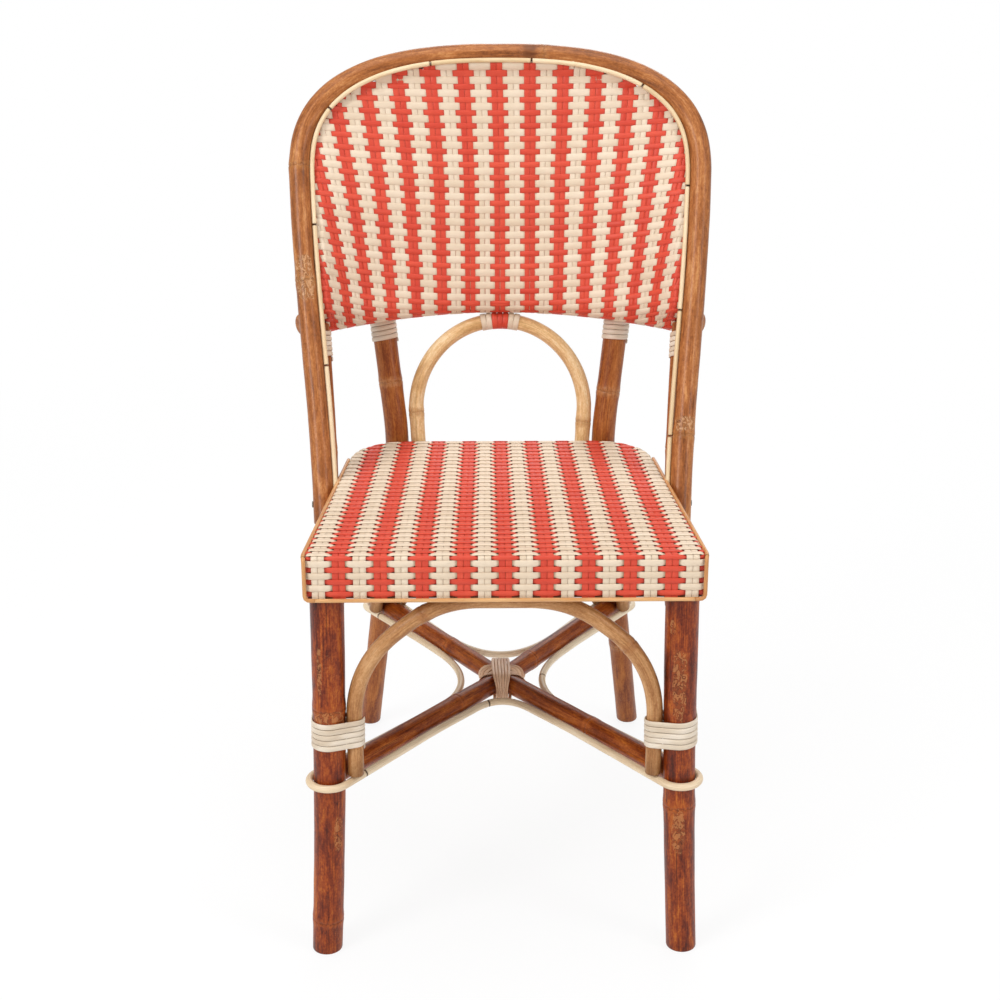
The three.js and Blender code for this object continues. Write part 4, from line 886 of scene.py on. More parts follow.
def make_rear_legs():
    knots = {1: (150, 540), -1: (210, 552)}
    for word, side in SIDES:
        knee = rear_leg(side, REAR_LEG_BEND_HEIGHT)
        top = rear_leg_above(side, REAR_LEG_TOP_HEIGHT)
        path = rounded_path([rear_leg(side, 0), knee, top], [REAR_LEG_BEND_CUT])
        pole("leg_pole_rear_" + word, path, REAR_LEG_RADIUS, "rear", "dark_pole", ("rear_leg_" + word,),
             level=True, rounding=3.5, seed=21 + side, knots=knots[side])


def make_hoop():
    path = hoop_path(0, HOOP_FOOT_HEIGHT, 0)
    pole("hoop_pole", path, (HOOP_RADIUS, HOOP_END_RADIUS), "hoop", "hoop_pole", ("back_hoop",), step=3,
         rounding=3, seed=31, knots=(96, 640, 980, 1110), swell=0.6, waver=0.016,
         scars=[(98, 20, 0, 1.3), (1076, 62, 0, 1.2)], burns=[(645, 22, 0, 1.5)])
    foot = RAIL_HEIGHT + FRAME_SETBACK * math.sin(HOOP_LEAN) + FRAME_RADIUS
    path = hoop_path(FRAME_INSET, foot, FRAME_SETBACK)
    pole("inner_frame_pole", path, FRAME_RADIUS, "hoop", "hoop_pole", ("inner_back_frame",),
         sides=20, seed=32, rounding=1)


def post_across(heights):
    """The posts stand behind the hoop's legs and draw away from them towards the rail."""
    share = (heights - POST_FOOT_HEIGHT) / (RAIL_HEIGHT - POST_FOOT_HEIGHT)
    inset = POST_INSET + (POST_TOP_INSET - POST_INSET) * share
    return hoop_side(heights, HOOP_FOOT_X, HOOP_WIDEST_X) - inset


def make_posts():
    foot = POST_FOOT_HEIGHT + POST_SETBACK * math.sin(HOOP_LEAN)
    for word, side in SIDES:
        heights = np.linspace(foot, RAIL_HEIGHT + 4, 40)
        path = plane_point(side * post_across(heights), heights, POST_SETBACK)
        pole("post_pole_" + word, path, POST_RADIUS, "rear", "dark_pole", ("side_post_" + word,),
             seed=35 + side, sides=24, knots=(70,))


def make_lower_rail():
    path = rail_point(np.linspace(-RAIL_END, RAIL_END, 120))
    pole("rail_pole", path, RAIL_RADIUS, "hoop", "hoop_pole", ("lower_back_rail",), seed=41, rounding=3,
         waver=0.004)


def back_arch_path():
    top = RAIL_HEIGHT - RAIL_RADIUS - TAB_THICKNESS - TAB_PLAY - CLEARANCE - BACK_ARCH_RADIUS
    spring = top - BACK_ARCH_HALF_WIDTH
    angles = np.linspace(0, math.pi / 2, 60)
    heights = spring + BACK_ARCH_HALF_WIDTH * np.sin(angles)
    leg_heights = np.linspace(BACK_ARCH_FOOT_HEIGHT, spring, 12, endpoint=False)
    leg_across = np.linspace(BACK_ARCH_FOOT_X, BACK_ARCH_HALF_WIDTH, 12, endpoint=False)
    heights = np.concatenate([leg_heights, heights])
    across = np.concatenate([leg_across, BACK_ARCH_HALF_WIDTH * np.cos(angles)])
    foot_depth = SEAT_DEPTH + CLEARANCE + BACK_ARCH_RADIUS
    share = np.clip((heights - SEAT_TOP) / (top - SEAT_TOP), 0, 1)
    depth = foot_depth + (RAIL_DEPTH - foot_depth) * share
    half = np.stack([across, depth, heights], axis=1)
    return np.concatenate([half, half[-2::-1] * [-1, 1, 1]])


def make_back_arch():
    pole("back_arch_pole", back_arch_path(), BACK_ARCH_RADIUS, "back_arch", "light_pole", ("back_arch",),
         seed=51, knots=(60, 395))


def make_front_arch():
    shoulder = ARCH_FOOT_HEIGHT + ARCH_RISE * FRONT_ARCH_LIMB_SHARE
    half = [(FRONT_ARCH_HALF_WIDTH, ARCH_FOOT_HEIGHT), (FRONT_ARCH_HALF_WIDTH, shoulder),
            (FRONT_ARCH_BAR_HALF, ARCH_BAR_HEIGHT)]
    corners = [(x, FRONT_LEG_DEPTH, z) for x, z in half] + [(-x, FRONT_LEG_DEPTH, z) for x, z in half[::-1]]
    path = rounded_path(corners, [FRONT_ARCH_BEND_CUT, ARCH_BEND_CUT, ARCH_BEND_CUT, FRONT_ARCH_BEND_CUT])
    pole("front_arch_pole", path, ARCH_RADIUS, "arch", "light_pole", ("front_arch",), seed=52,
         knots=(150, 372), scars=[(200, 50, 90, 0.5)])


def make_side_arches():
    for word, side in SIDES:
        low, high = ARCH_FOOT_HEIGHT, ARCH_FOOT_HEIGHT + LIMB_STRAIGHT
        corners = [side_limb_front(side, low), side_limb_front(side, high)]
        for depth in (FRONT_LEG_DEPTH + SIDE_ARCH_BAR_INSET, SEAT_DEPTH - SIDE_ARCH_BAR_INSET):
            corners.append((side * (half_width(depth) - SEAT_RAIL_SETBACK), depth, ARCH_BAR_HEIGHT))
        corners += [side_limb_rear(side, high), side_limb_rear(side, low)]
        path = rounded_path(corners, [LIMB_BEND_CUT, ARCH_BEND_CUT, ARCH_BEND_CUT, LIMB_BEND_CUT])
        pole("side_arch_pole_" + word, path, ARCH_RADIUS, "arch", "light_pole", (word + "_arch",),
             seed=54 + side, knots=(170, 430))


def make_rear_arch():
    depth = SEAT_DEPTH - SEAT_RAIL_SETBACK
    limbs = [rear_limb(1, ARCH_FOOT_HEIGHT), rear_limb(1, ARCH_FOOT_HEIGHT + LIMB_STRAIGHT),
             np.array([REAR_ARCH_BAR_HALF, depth, ARCH_BAR_HEIGHT])]
    corners = limbs + [point * [-1, 1, 1] for point in limbs[::-1]]
    path = rounded_path(corners, [LIMB_BEND_CUT, ARCH_BEND_CUT, ARCH_BEND_CUT, LIMB_BEND_CUT])
    pole("rear_arch_pole", path, ARCH_RADIUS, "arch", "light_pole", ("rear_arch",), seed=57,
         knots=(120, 330))


def brace_path(leg_at):
    right, left = leg_at(1, BRACE_HEIGHT), leg_at(-1, BRACE_HEIGHT)
    middle = np.array([0, BRACE_MEETING_DEPTH, BRACE_HEIGHT])
    half_angle = math.atan2(right[0], abs(right[1] - middle[1]))
    cut = (2 * BRACE_RADIUS + CLEARANCE) / math.cos(half_angle)
    ends = [leg + unit(middle - leg) * BRACE_INSET for leg in (left, right)]
    return rounded_path([ends[0], middle, ends[1]], [cut])


def make_braces():
    for word, leg_at, knots in (("front", front_leg, (196, 420)), ("rear", rear_leg, (150, 300))):
        pole("brace_pole_" + word, brace_path(leg_at), BRACE_RADIUS, "brace", "dark_pole", ("brace_" + word,),
             seed=61 + len(word), rounding=1, knots=knots, step=3)


# Thin round canes
def bead_path():
    """The beads run along the inner side of the hoop and turn towards its front at the crown."""
    hoop = evenly(hoop_path(0, SEAT_TOP - BEAD_FOOT_DROP, 0), 3)
    reach = np.linspace(HOOP_RADIUS, HOOP_END_RADIUS, len(hoop))[:, None] + BEAD_RADIUS + BEAD_PLAY
    front = PANEL_THICKNESS / 2 + CLEARANCE + BEAD_RADIUS - PANEL_EDGE_SETBACK
    side_turn = np.arcsin(front / reach)[:, 0]
    forward = np.array([0, -math.cos(HOOP_LEAN), math.sin(HOOP_LEAN)])
    inward = unit(np.cross(forward, np.gradient(hoop, axis=0)))
    up = np.clip((hoop[:, 2] - HOOP_WIDEST) / (HOOP_CROWN - HOOP_WIDEST), 0, 1)
    turn = (side_turn + (BEAD_CROWN_TURN - side_turn) * up ** 2)[:, None]
    return hoop + reach * (inward * np.cos(turn) + forward * np.sin(turn))


def make_beads():
    path = evenly(bead_path(), 2)
    whole = lengths_along(path)[-1]
    ends = [0, *BEAD_JOINT_SHARES, 1]
    for i in range(len(ends) - 1):
        start, end = ends[i] * whole + BEAD_JOINT_GAP / 2, ends[i + 1] * whole - BEAD_JOINT_GAP / 2
        places = np.linspace(start, end, 90)
        thin_pole("bead_cane_" + str(i + 1), points_at(path, places), BEAD_RADIUS, "bead", "pale_cane",
                  ("bead_" + str(i + 1),), seed=70 + i, rounding=0.5)


def rod_line():
    """The rods' closed line: round each leg and beside every arm of the braces."""
    front_ring = front_leg_radius(ROD_HEIGHT) + ROD_RADIUS + CLEARANCE
    rear_ring = REAR_LEG_RADIUS * REAR_STRETCH + ROD_RADIUS * (1 + REAR_TILT) + CLEARANCE
    apexes = [(0, STRAP_FRONT - ROD_RADIUS - ROD_FRONT_PLAY), (ROD_SIDE_REACH, BRACE_MEETING_DEPTH),
              (0, BRACE_MEETING_DEPTH + ROD_REAR_REACH), (-ROD_SIDE_REACH, BRACE_MEETING_DEPTH)]
    legs = [(front_leg(-1, ROD_HEIGHT), front_ring), (front_leg(1, ROD_HEIGHT), front_ring),
            (rear_leg(1, ROD_HEIGHT), rear_ring), (rear_leg(-1, ROD_HEIGHT), rear_ring)]
    middle = np.array([0, BRACE_MEETING_DEPTH, ROD_HEIGHT])
    off = BRACE_RADIUS + ROD_RADIUS
    outs = [unit(at - middle) for at, _ in legs]
    acrosses = [np.array([out[1], -out[0], 0]) for out in outs]
    points = []
    for i, (at, ring) in enumerate(legs):
        j = (i + 1) % len(legs)
        for angle in np.linspace(math.pi / 2, -math.pi / 2, 25):
            points.append(at + outs[i] * ring * math.cos(angle) + acrosses[i] * ring * math.sin(angle))
        start = middle - acrosses[i] * off
        end = middle + acrosses[j] * off
        ways = np.stack([outs[i][:2], outs[j][:2]], axis=1)
        along = np.linalg.solve(ways, (end - start)[:2])[0]
        corner = start + outs[i] * along
        apex = np.array([*apexes[i], ROD_HEIGHT])
        cuts = np.linalg.solve(ways, 4 * (apex - corner)[:2])
        points.extend(bend(corner + outs[i] * cuts[0], corner, corner + outs[j] * cuts[1]))
    points.append(points[0])
    line = evenly(points, 2)
    away = np.linalg.norm(line[:, :2] - middle[:2], axis=1)
    share = np.clip((away - ROD_LEVEL_REACH) / (ROD_RISE_REACH - ROD_LEVEL_REACH), 0, 1)
    line[:, 2] += ROD_LEG_RISE * share * share * (3 - 2 * share)
    return line


def make_rods():
    line = rod_line()
    marks = [nearest_place(line, mark) for mark in ROD_JOINTS]
    whole = lengths_along(line)[-1]
    for i, start in enumerate(marks):
        end = marks[(i + 1) % len(marks)]
        end += whole if end < start else 0
        places = np.linspace(start + ROD_JOINT_GAP / 2, end - ROD_JOINT_GAP / 2, 200) % whole
        thin_pole("rod_cane_" + str(i + 1), points_at(line, places), ROD_RADIUS, "rod", "pale_cane",
                  ("loop_rod_" + str(i + 1),), seed=80 + i, rounding=0.6)


def nearest_place(line, mark):
    """Distance along a line to the place nearest a mark in plan."""
    gaps = np.linalg.norm(line[:, :2] - np.array(mark), axis=1)
    return lengths_along(line)[int(np.argmin(gaps))]


def make_piping():
    off = PIPING_RADIUS - PIPING_SINK
    height = SEAT_TOP - PIPING_RADIUS
    low = SEAT_BOTTOM - CLEARANCE
    front = PIPING_SINK - PIPING_RADIUS
    for word, side in SIDES:
        corner_x = side * (SEAT_FRONT_HALF - PIPING_SINK + CLEARANCE)
        corners = [(side * (half_width(PIPING_REAR) + off), PIPING_REAR, height),
                   (side * (half_width(SEAT_FRONT_CORNER) + off), SEAT_FRONT_CORNER, height),
                   (corner_x, front, height), (corner_x, front, low),
                   (corner_x - side * 2 * PIPING_BEND, front, low)]
        path = rounded_path(corners, [PIPING_BEND, PIPING_BEND, PIPING_BEND])
        thin_pole("piping_cane_" + word, path, PIPING_RADIUS, "piping", "piping", ("seat_piping_" + word,),
                  seed=90 + side, rounding=0.1, joint=0)
    reach = SEAT_FRONT_HALF - PIPING_SINK + CLEARANCE - 2 * PIPING_BEND
    thin_pole("piping_cane_front", [(-reach, front, low), (reach, front, low)], PIPING_RADIUS, "piping",
              "piping", ("seat_piping_front",), seed=93, rounding=0.1, joint=0)


# Windings of flat cane
def hull_line(poles, gap):
    """The taut closed line round circles in a plane: its points, and the directions outwards."""
    centres = np.array([at for at, _ in poles], float)
    radii = np.array([radius for _, radius in poles]) + gap
    angles = np.append(np.linspace(0, WHOLE_TURN, HULL_SAMPLES, endpoint=False), 0)
    ways = np.stack([np.cos(angles), np.sin(angles)], axis=1)
    chosen = np.argmax(ways @ centres.T + radii, axis=1)
    return centres[chosen] + ways * radii[chosen][:, None], ways


def hull_point(poles_at, gap, along, share):
    """A point of a winding at a share of the way round, and the direction outwards."""
    points, ways = hull_line(poles_at(along), gap)
    lengths = lengths_along(points)
    at, out = (values_at(share * lengths[-1], lengths, line) for line in (points, ways))
    return np.array([*at, along]), np.array([*out, 0])


def hull_turns(poles_at, gap, turns, pitch):
    """A winding round poles: its points, outward directions, and shifts from each turn to the next."""
    points, _ = hull_line(poles_at(0), gap)
    count = int(lengths_along(points)[-1] / WINDING_STEP)
    centres, outs, shifts = [], [], []
    for share in np.arange(int(turns * count) + 1) / count:
        along = (share - turns / 2) * pitch
        centre, out = hull_point(poles_at, gap, along, share % 1)
        before, _ = hull_point(poles_at, gap, along - pitch / 2, share % 1)
        after, _ = hull_point(poles_at, gap, along + pitch / 2, share % 1)
        centres.append(centre)
        outs.append(out)
        shifts.append(after - before)
    return np.array(centres), np.array(outs), np.array(shifts)


CANE_SECTION = np.array([
    (-1, -0.2), (-0.86, 0.45), (-0.45, 0.9), (0, 1), (0.45, 0.9), (0.86, 0.45), (1, -0.2), (0.7, -1),
    (-0.7, -1)])


def ribbon_mesh(centres, acrosses, outs, widths, thickness):
    """Rings of a flat strand's section along a line, with its faces and its grain."""
    across, up = CANE_SECTION.T
    offset = widths[:, None] / 2 * across
    rings = centres[:, None, :] + offset[..., None] * acrosses[:, None, :]
    rings = rings + (thickness / 2 * up)[None, :, None] * outs[:, None, :]
    sides = len(CANE_SECTION)
    last = (len(centres) - 1) * sides
    faces = ring_faces(len(centres), sides).tolist()
    faces += [list(range(sides))[::-1], list(range(last, last + sides))]
    grain = np.stack([offset, 0 * offset, lengths_along(centres)[:, None] + 0 * offset], axis=-1)
    return rings.reshape(-1, 3), faces, grain.reshape(-1, 3)


def wind(name, poles_at, place, turns, pitch, thickness, material, stands_for, waist=0.0):
    """A winding of flat cane, wound in its own frame of axes and put in place. It may narrow to a waist
    where it lies farthest from its axis."""
    centres, outs, shifts = hull_turns(poles_at, CLEARANCE + thickness / 2, turns, pitch)
    normals = np.cross(np.gradient(centres, axis=0), shifts)
    normals = unit(normals * np.sign((normals * outs).sum(axis=1, keepdims=True)))
    narrow = 1 - waist * (np.abs(centres[:, 0]) / np.abs(centres[:, 0]).max()) ** 4
    centres[:, 2] *= narrow
    widths = (np.linalg.norm(shifts, axis=1) - STRAND_GAP) * narrow
    vertices, faces, grain = ribbon_mesh(centres, unit(shifts), normals, widths, thickness)
    vertices = place(vertices)
    if signed_volume(vertices, faces) < 0:
        faces = [face[::-1] for face in faces]
    strand = np.repeat(wander(lengths_along(centres), len(name), 0.8, 90) + 0.5, len(CANE_SECTION))
    grain = grain + len(name) * WINDING_GRAIN_SHIFT
    make_piece(name, vertices, faces, material, stands_for, {"grain": grain}, {"strand": strand})


def signed_volume(vertices, faces):
    total = 0.0
    for face in faces:
        for k in range(1, len(face) - 1):
            total += np.dot(vertices[face[0]], np.cross(vertices[face[k]], vertices[face[k + 1]]))
    return total


def axes_along(origin, axis):
    """A frame that stands on a point with its third axis along a line: places points, and flattens them."""
    up = unit(axis)
    across = unit(np.array([1.0, 0, 0]) - up * up[0])
    turned = np.stack([across, np.cross(up, across), up])
    return (lambda points: origin + np.asarray(points) @ turned,
            lambda point: (turned @ (np.asarray(point) - origin))[:2])


def make_leg_bindings():
    middle = BINDING_BOTTOM + BINDING_TURNS * BINDING_PITCH / 2
    for word, side in SIDES:
        limb = np.array([side * FRONT_ARCH_HALF_WIDTH, FRONT_LEG_DEPTH, middle])
        ends = {
            "front": (front_leg, front_leg_radius(middle), (limb, side_limb_front(side, middle))),
            "rear": (rear_leg, REAR_LEG_RADIUS, (side_limb_rear(side, middle), rear_limb(side, middle))),
        }
        for end, (leg_at, radius, limbs) in ends.items():
            origin = leg_at(side, middle)
            place, flat = axes_along(origin, leg_at(side, middle + 10) - origin)
            poles = [((0, 0), radius)] + [(flat(point), ARCH_RADIUS + CLEARANCE) for point in limbs]
            wind("binding_cane_" + end + "_" + word, lambda along, poles=poles: poles, place,
                 BINDING_TURNS, BINDING_PITCH, BINDING_THICKNESS, "binding",
                 ("binding_" + end + "_" + word,))


def bind_top(name, stands_for, low, high, radius):
    """A winding round the straight top of one pole, halfway between two points of it."""
    place, _ = axes_along((low + high) / 2, high - low)
    wind(name, lambda along: [((0, 0), radius)], place, BINDING_TURNS, TOP_BINDING_PITCH, BINDING_THICKNESS,
         "binding", stands_for)


def make_top_bindings():
    length = BINDING_TURNS * TOP_BINDING_PITCH
    for word, side in SIDES:
        low, high = (rear_leg_above(side, LEG_BINDING_TOP - drop) for drop in (length, 0))
        bind_top("binding_cane_leg_top_" + word, ("leg_top_binding_" + word,), low, high, REAR_LEG_RADIUS)
        heights = np.array([POST_BINDING_TOP - length, POST_BINDING_TOP])
        low, high = plane_point(side * post_across(heights), heights, POST_SETBACK)
        bind_top("binding_cane_post_" + word, ("post_binding_" + word,), low, high, POST_RADIUS)


def make_lashing():
    """Strands round the crossing: a band through the side crotches, then a strap over it."""
    middle = np.array([0, BRACE_MEETING_DEPTH, BRACE_HEIGHT])
    front = front_leg(1, BRACE_HEIGHT)
    angle = math.atan2(front[0], BRACE_MEETING_DEPTH - front[1])
    crotch = (BRACE_RADIUS + CLEARANCE / 2) / (1 / math.sin(angle) - 1)
    outer = crotch + BRACE_RADIUS + CLEARANCE

    def band_poles(along):
        level = outer - abs(along) - STRAND_PITCH / 2
        waist = math.sqrt(max(outer ** 2 - level ** 2, 0))
        spread = max(waist + CLEARANCE - BRACE_RADIUS, CLEARANCE)
        return [((spread, 0), BRACE_RADIUS), ((-spread, 0), BRACE_RADIUS)]

    wind("lashing_band", band_poles, lambda p: p[:, [0, 2, 1]] + middle, BAND_TURNS, STRAND_PITCH,
         STRAND_THICKNESS, "strand", ("brace_band",))
    radius = STRAP_RISE - STRAND_THICKNESS - 2 * CLEARANCE
    spread = STRAP_REACH - STRAND_THICKNESS - 2 * CLEARANCE - radius
    wind("lashing_strap", lambda along: [((spread, 0), radius), ((-spread, 0), radius)],
         lambda p: p[:, [2, 0, 1]] + middle, STRAP_TURNS, STRAP_PITCH, STRAND_THICKNESS, "strand",
         ("brace_strap",), STRAP_WAIST)


# Weave
FLAT_SECTION = np.array([(-1, 0), (-0.88, 0.8), (0, 1), (0.88, 0.8), (1, 0), (0.88, -0.8), (-0.88, -0.8)])


def seat_edge():
    """The seat's outline: points, outward directions and the rounding of the top edge there."""
    corners = np.array([(-SEAT_FRONT_HALF, 0), (SEAT_FRONT_HALF, 0), (SEAT_REAR_HALF, SEAT_DEPTH),
                        (-SEAT_REAR_HALF, SEAT_DEPTH)], float)
    rounds = [SEAT_FRONT_CORNER, SEAT_FRONT_CORNER, SEAT_REAR_CORNER, SEAT_REAR_CORNER]
    points = []
    for i, corner in enumerate(corners):
        before = corner + unit(corners[i - 1] - corner) * rounds[i]
        after = corner + unit(corners[(i + 1) % 4] - corner) * rounds[i]
        points.extend(bend(before, corner, after))
    points = np.array(points + points[:1])
    points = points_at(points, np.linspace(0, lengths_along(points)[-1], EDGE_SAMPLES + 1)[:-1])
    tangents = unit(np.roll(points, -1, axis=0) - np.roll(points, 1, axis=0))
    outs = np.stack([tangents[:, 1], -tangents[:, 0]], axis=1)
    rolls = SEAT_SIDE_ROLL + (SEAT_FRONT_ROLL - SEAT_SIDE_ROLL) * outs[:, 1] ** 2
    return points - outs * rolls[:, None], outs, rolls


EDGE_POINTS, EDGE_OUTS, EDGE_ROLLS = seat_edge()
SEAT_TUCK_HEIGHT = SEAT_BOTTOM + SEAT_UNDER
CORNER_X = SEAT_FRONT_HALF - SEAT_FRONT_CORNER
CORNER_Y = SEAT_FRONT_ROLL
WALL_REACH = CORNER_X + SEAT_FRONT_CORNER / 2


def fold_over(edge, out, roll, distance):
    """Carries a point a distance beyond the seat's edge line: over the edge, down the wall and under it.
    Gives its place, the outward direction and how far it lies past the weave's end."""
    arc = roll * math.pi / 2
    wall = SEAT_TOP - roll - SEAT_TUCK_HEIGHT - SEAT_TUCK_ROLL
    turn = np.clip(distance / roll, 0, math.pi / 2)
    drop = np.clip(distance - arc, 0, wall)
    under = np.clip((distance - arc - wall) / SEAT_TUCK_ROLL, 0, math.pi / 2)
    inward = np.maximum(distance - arc - wall - SEAT_TUCK_ROLL * math.pi / 2, 0)
    reach = roll * np.sin(turn) - SEAT_TUCK_ROLL * (1 - np.cos(under)) - inward
    height = SEAT_TOP - roll * (1 - np.cos(turn)) - drop - SEAT_TUCK_ROLL * np.sin(under)
    place = np.concatenate([edge + out * reach[:, None], height[:, None]], axis=1)
    tilt = turn + under
    normal = np.concatenate([out * np.sin(tilt)[:, None], np.cos(tilt)[:, None]], axis=1)
    return place, unit(normal), inward - SEAT_TUCK


def fold_flat(flat):
    """Folds points of the flat weave, most of which lie on the seat's top."""
    gaps = ((flat[:, None, :] - EDGE_POINTS[None, :, :]) ** 2).sum(axis=2)
    near = np.argmin(gaps, axis=1)
    away = flat - EDGE_POINTS[near]
    outside = ((away * EDGE_OUTS[near]).sum(axis=1) > 0)[:, None]
    distance = np.where(outside[:, 0], np.linalg.norm(away, axis=1), 0)
    edge = np.where(outside, EDGE_POINTS[near], flat)
    out = np.where(outside, unit(away), 0)
    return fold_over(edge, out, EDGE_ROLLS[near], distance)


def fold_front(flat):
    """Folds points of the front wall, where rows follow the seat's edge round its corners."""
    lengths = lengths_along(EDGE_POINTS)
    middle = np.argmin(np.abs(EDGE_POINTS[:, 0]) + 9 * np.abs(EDGE_POINTS[:, 1] - CORNER_Y))
    place = flat[:, 0] + lengths[middle]
    edge = values_at(place, lengths, EDGE_POINTS)
    out = unit(values_at(place, lengths, EDGE_OUTS))
    roll = np.interp(place, lengths, EDGE_ROLLS)
    distance = CORNER_Y - flat[:, 1] - (SEAT_FRONT_ROLL - roll) * (math.pi / 2 - 1)
    return fold_over(edge, out, roll, np.maximum(distance, 0))


def seat_fold(x, y):
    """Places points of the flat weave on the seat."""
    flat = np.stack([x.ravel(), y.ravel()], axis=1)
    front = flat[:, 1] < CORNER_Y
    place, normal, past = np.zeros((len(flat), 3)), np.zeros((len(flat), 3)), np.zeros(len(flat))
    for chosen, fold in ((np.flatnonzero(front), fold_front), (np.flatnonzero(~front), fold_flat)):
        for start in range(0, len(chosen), FOLD_BATCH):
            part = chosen[start:start + FOLD_BATCH]
            place[part], normal[part], past[part] = fold(flat[part])
    return place.reshape(*x.shape, 3), normal.reshape(*x.shape, 3), past.reshape(x.shape)


def over_share(phase, colour_sign):
    """1 where a weft lies over the pairs of its own colour, -1 where it lies under the others."""
    wave = np.cos(math.pi * phase) * colour_sign
    return np.sin(math.pi / 2 * np.clip((wave + WEFT_BIAS) / (0.5 + WEFT_BIAS / 2), -1, 1))


class Strands:
    """Flat strands gathered into one mesh."""

    def __init__(self):
        self.vertices, self.faces, self.grain, self.lift, self.strand = [], [], [], [], []
        self.count = 0

    def add(self, surface, first, second, lift, width, across_first, thickness=FLAT_THICKNESS):
        """One strand along a line of the flat weave. surface places a flat point and gives its direction."""
        across, up = FLAT_SECTION.T
        sides = len(FLAT_SECTION)
        offset = width[:, None] / 2 * across
        shifts = (offset, 0) if across_first else (0, offset)
        flat = [line[:, None] + shift + 0 * offset for line, shift in zip((first, second), shifts)]
        place, normal = surface(*flat)
        rings = place + normal * (lift[:, None] + up * thickness / 2)[:, :, None]
        faces = ring_faces(len(first), sides)
        caps = np.stack([np.arange(sides)[::-1], np.arange(sides) + (len(first) - 1) * sides])
        for group in (faces, caps):
            turned = group[:, ::-1] if across_first else group
            self.faces.extend((turned + self.count).tolist())
        self.vertices.append(rings.reshape(-1, 3))
        along = (second if across_first else first)[:, None] + 0 * offset
        seed = len(self.vertices) * STRAND_GRAIN_SHIFT
        self.grain.append(np.stack([offset + seed, 0 * offset, along + seed], axis=-1).reshape(-1, 3))
        self.lift.append(np.repeat(lift, sides))
        tone = (len(self.vertices) * STRAND_TONE_SHIFT) % 1
        self.strand.append(np.full(len(first) * sides, tone))
        self.count += len(first) * sides

    def piece(self, name, material, stands_for):
        vectors = {"grain": np.concatenate(self.grain)}
        numbers = {"lift": np.concatenate(self.lift), "strand": np.concatenate(self.strand)}
        make_piece(name, np.concatenate(self.vertices), self.faces, material, stands_for, vectors,
                   numbers)


def both_colours():
    return {"cream": Strands(), "red": Strands()}


def make_both(strands, name, stands_for):
    for kind, group in strands.items():
        group.piece(name + "_" + kind, kind, stands_for)


def seat_surface(u, v):
    place, normal, _ = seat_fold(u, v)
    return place - normal * SEAT_SINK, normal


def longest_run(kept):
    """The longest unbroken stretch of kept samples, as a slice."""
    edges = np.flatnonzero(np.diff(np.concatenate([[0], kept.astype(int), [0]])))
    runs = edges.reshape(-1, 2)
    if len(runs) == 0:
        return slice(0, 0)
    start, end = runs[np.argmax(runs[:, 1] - runs[:, 0])]
    return slice(start, end)


def taper_at(depth):
    return 1 - STRIPE_TAPER * np.clip(depth, 0, SEAT_DEPTH)


def make_seat_wefts():
    pairs = np.arange(-WEFT_PAIRS, WEFT_PAIRS + WEFT_END, WEFT_SAMPLE)
    strands = both_colours()
    for j in WEFT_ROWS:
        y = WEFT_START + j * WEFT_STEP
        kind, sign = WEFT_COLOURS[j % 2]
        x = pairs * PAIR_STEP * taper_at(y)
        ys = np.full_like(x, y)
        _, _, past = seat_fold(x, ys)
        kept = past <= 0
        if y < CORNER_Y:
            kept &= np.abs(x) <= WALL_REACH
        run = longest_run(kept)
        if run.stop - run.start < SHORTEST_RUN:
            continue
        over = over_share(pairs[run], sign)
        width = SEAT_WEFT_WIDTH[kind] + SEAT_WEFT_PINCH * (over - 1)
        strands[kind].add(seat_surface, x[run], ys[run], SEAT_LIFT[kind] * over, width, False)
    make_both(strands, "seat_weft", ("seat_weave",))


def make_seat_warps():
    y = np.arange(WARP_START, WARP_END, WEFT_STEP / 3)
    strands = both_colours()
    for k in WARP_PAIRS:
        kind, sign = WARP_COLOURS[k % 2]
        for half in (-1, 1):
            x = (PAIR_STEP * k + half * PAIR_HALF / 2) * taper_at(y)
            _, _, past = seat_fold(x, y)
            kept = past <= 0
            if abs(k) > WALL_PAIRS:
                kept &= y >= CORNER_Y + 1
            run = longest_run(kept)
            if run.stop - run.start < SHORTEST_RUN:
                continue
            lift = WARP_LIFT * sign * np.cos(math.pi * (y[run] - WEFT_START) / WEFT_STEP)
            width = np.full_like(lift, PAIR_HALF - WARP_GAP)
            strands[kind].add(seat_surface, x[run], y[run], lift, width, True)
    make_both(strands, "seat_warp", ("seat_weave",))


def make_seat_shade_sheet():
    """A thin dark sheet under the seat's strands, its colour painted shade that stands for the weave's
    shadowed inner layer.
    """
    x, y = np.meshgrid(np.arange(-SHADE_SHEET_REACH, SHADE_SHEET_REACH + 1, SHADE_SHEET_STEP),
                       np.arange(SHADE_SHEET_START, SHADE_SHEET_END, SHADE_SHEET_STEP))
    place, normal, past = seat_fold(x, y)
    kept = (past <= 0) & ((y >= CORNER_Y) | (np.abs(x) <= WALL_REACH))
    columns = x.shape[1]
    index = np.arange(x.size).reshape(x.shape)
    whole = kept[:-1, :-1] & kept[1:, :-1] & kept[:-1, 1:] & kept[1:, 1:]
    first = index[:-1, :-1][whole]
    faces = np.stack([first, first + 1, first + 1 + columns, first + columns], axis=1)
    used, packed = np.unique(faces, return_inverse=True)
    vertices = (place - normal * SHADE_SHEET_SINK).reshape(-1, 3)[used]
    piece = make_piece("seat_shade_sheet", vertices, packed.reshape(-1, 4).tolist(), "shade_sheet",
                       ("seat_weave",), {"grain": vertices})
    thickness = piece.modifiers.new("thickness", "SOLIDIFY")
    thickness.thickness = SHADE_SHEET_THICKNESS * MM
    thickness.offset = -1


